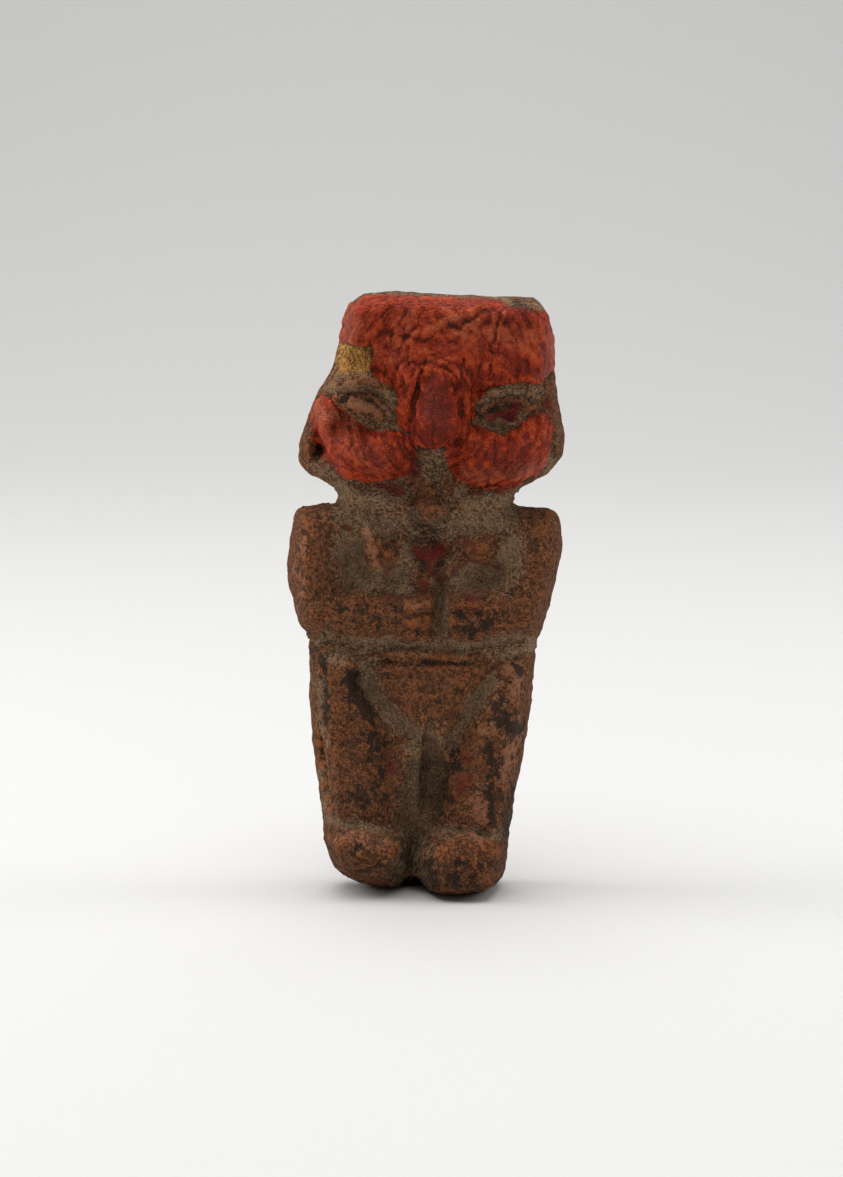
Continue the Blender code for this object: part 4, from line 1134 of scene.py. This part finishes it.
# A flat stretch, a quarter circle and an upright stretch, drawn sideways.
def layPaper():
    turn = np.linspace(0, math.pi / 2, 25)
    depth = paper["bend"] + paper["bendRadius"] * np.sin(turn)
    height = paper["bendRadius"] * (1 - np.cos(turn))
    profile = np.column_stack([np.append(paper["front"], depth), np.append(0, height)])
    profile = np.vstack([profile, [profile[-1, 0], paper["top"]]])
    sides = np.tile([-paper["halfWidth"], paper["halfWidth"]], len(profile))
    points = np.column_stack([sides, np.repeat(profile, 2, axis=0)])
    first = 2 * np.arange(len(profile) - 1)
    faces = np.stack([first, first + 1, first + 3, first + 2], axis=-1)
    mesh = bpy.data.meshes.new("paper")
    mesh.from_pydata(points.tolist(), [], faces.tolist())
    mesh.shade_smooth()
    mesh.materials.append(paperMaterial())
    floor = placed("paper", mesh)
    print("paper ready")


# Soft lights: where each stands, how wide it is, its power and the place that it faces, in metres and watts
studio = {
    "surround": 0.13,
    "top": {"place": (-0.10, -0.12, 1.10), "size": 1.2, "power": 12.0, "aim": (0, 0, 0)},
    "far": {"place": (0.0, 0.8, 1.0), "size": 1.0, "power": 2.5, "aim": (0, 0.9, 0)},
    "left": {"place": (-0.50, 0.05, 0.32), "size": 0.3, "power": 1.2, "aim": (0, 0, 0.04)},
    "right": {"place": (0.50, 0.05, 0.32), "size": 0.3, "power": 0.75, "aim": (0, 0, 0.04)},
}


# A square lamp that shines from its place towards its aim.
def softLight(name):
    settings = studio[name]
    light = bpy.data.lights.new(name, "AREA")
    light.size = settings["size"]
    light.energy = settings["power"]
    lamp = placed(name, light)
    lamp.location = settings["place"]
    lamp.rotation_mode = "QUATERNION"
    lamp.rotation_quaternion = (lamp.location - Vector(settings["aim"])).to_track_quat("Z", "Y")


# The four lamps, and an even white surround.
def lightStudio():
    for name in ("top", "far", "left", "right"):
        softLight(name)
    world = bpy.data.worlds.new("studio")
    world.use_nodes = True
    background = world.node_tree.nodes["Background"]
    background.inputs["Color"].default_value = (1, 1, 1, 1)
    background.inputs["Strength"].default_value = studio["surround"]
    bpy.context.scene.world = world
    print("lights ready")


# The photograph's view: its size, where the figure's middle lies in it, and the camera's height and distance
view = {
    "width": 843,
    "height": 1177,
    "middle": (425.5, 595.0),
    "elevation": 8.0,
    "distance": 0.46,
    "lens": 100.0,
    "sensor": 36.0,
}


# The camera stands back from the middle of the figure, along a line that is tilted upwards. Its picture is
# then shifted, which puts the figure where the photograph has it.
def placeCamera():
    camera = bpy.data.cameras.new("camera")
    camera.lens = view["lens"]
    camera.sensor_width = view["sensor"]
    camera.sensor_fit = "AUTO"
    camera.shift_x = (view["width"] / 2 - view["middle"][0]) / view["height"]
    camera.shift_y = (view["middle"][1] - view["height"] / 2) / view["height"]
    tilt = math.radians(view["elevation"])
    back = Vector((0, -math.cos(tilt), math.sin(tilt)))
    holder = placed("camera", camera)
    holder.location = Vector((0, 0, highest.z / 2)) + back * view["distance"]
    holder.rotation_mode = "QUATERNION"
    holder.rotation_quaternion = back.to_track_quat("Z", "Y")
    bpy.context.scene.camera = holder
    print("camera ready")


placeCamera()
layPaper()
lightStudio()
bpy.context.scene.view_settings.view_transform = "Standard"
buildFigurine()
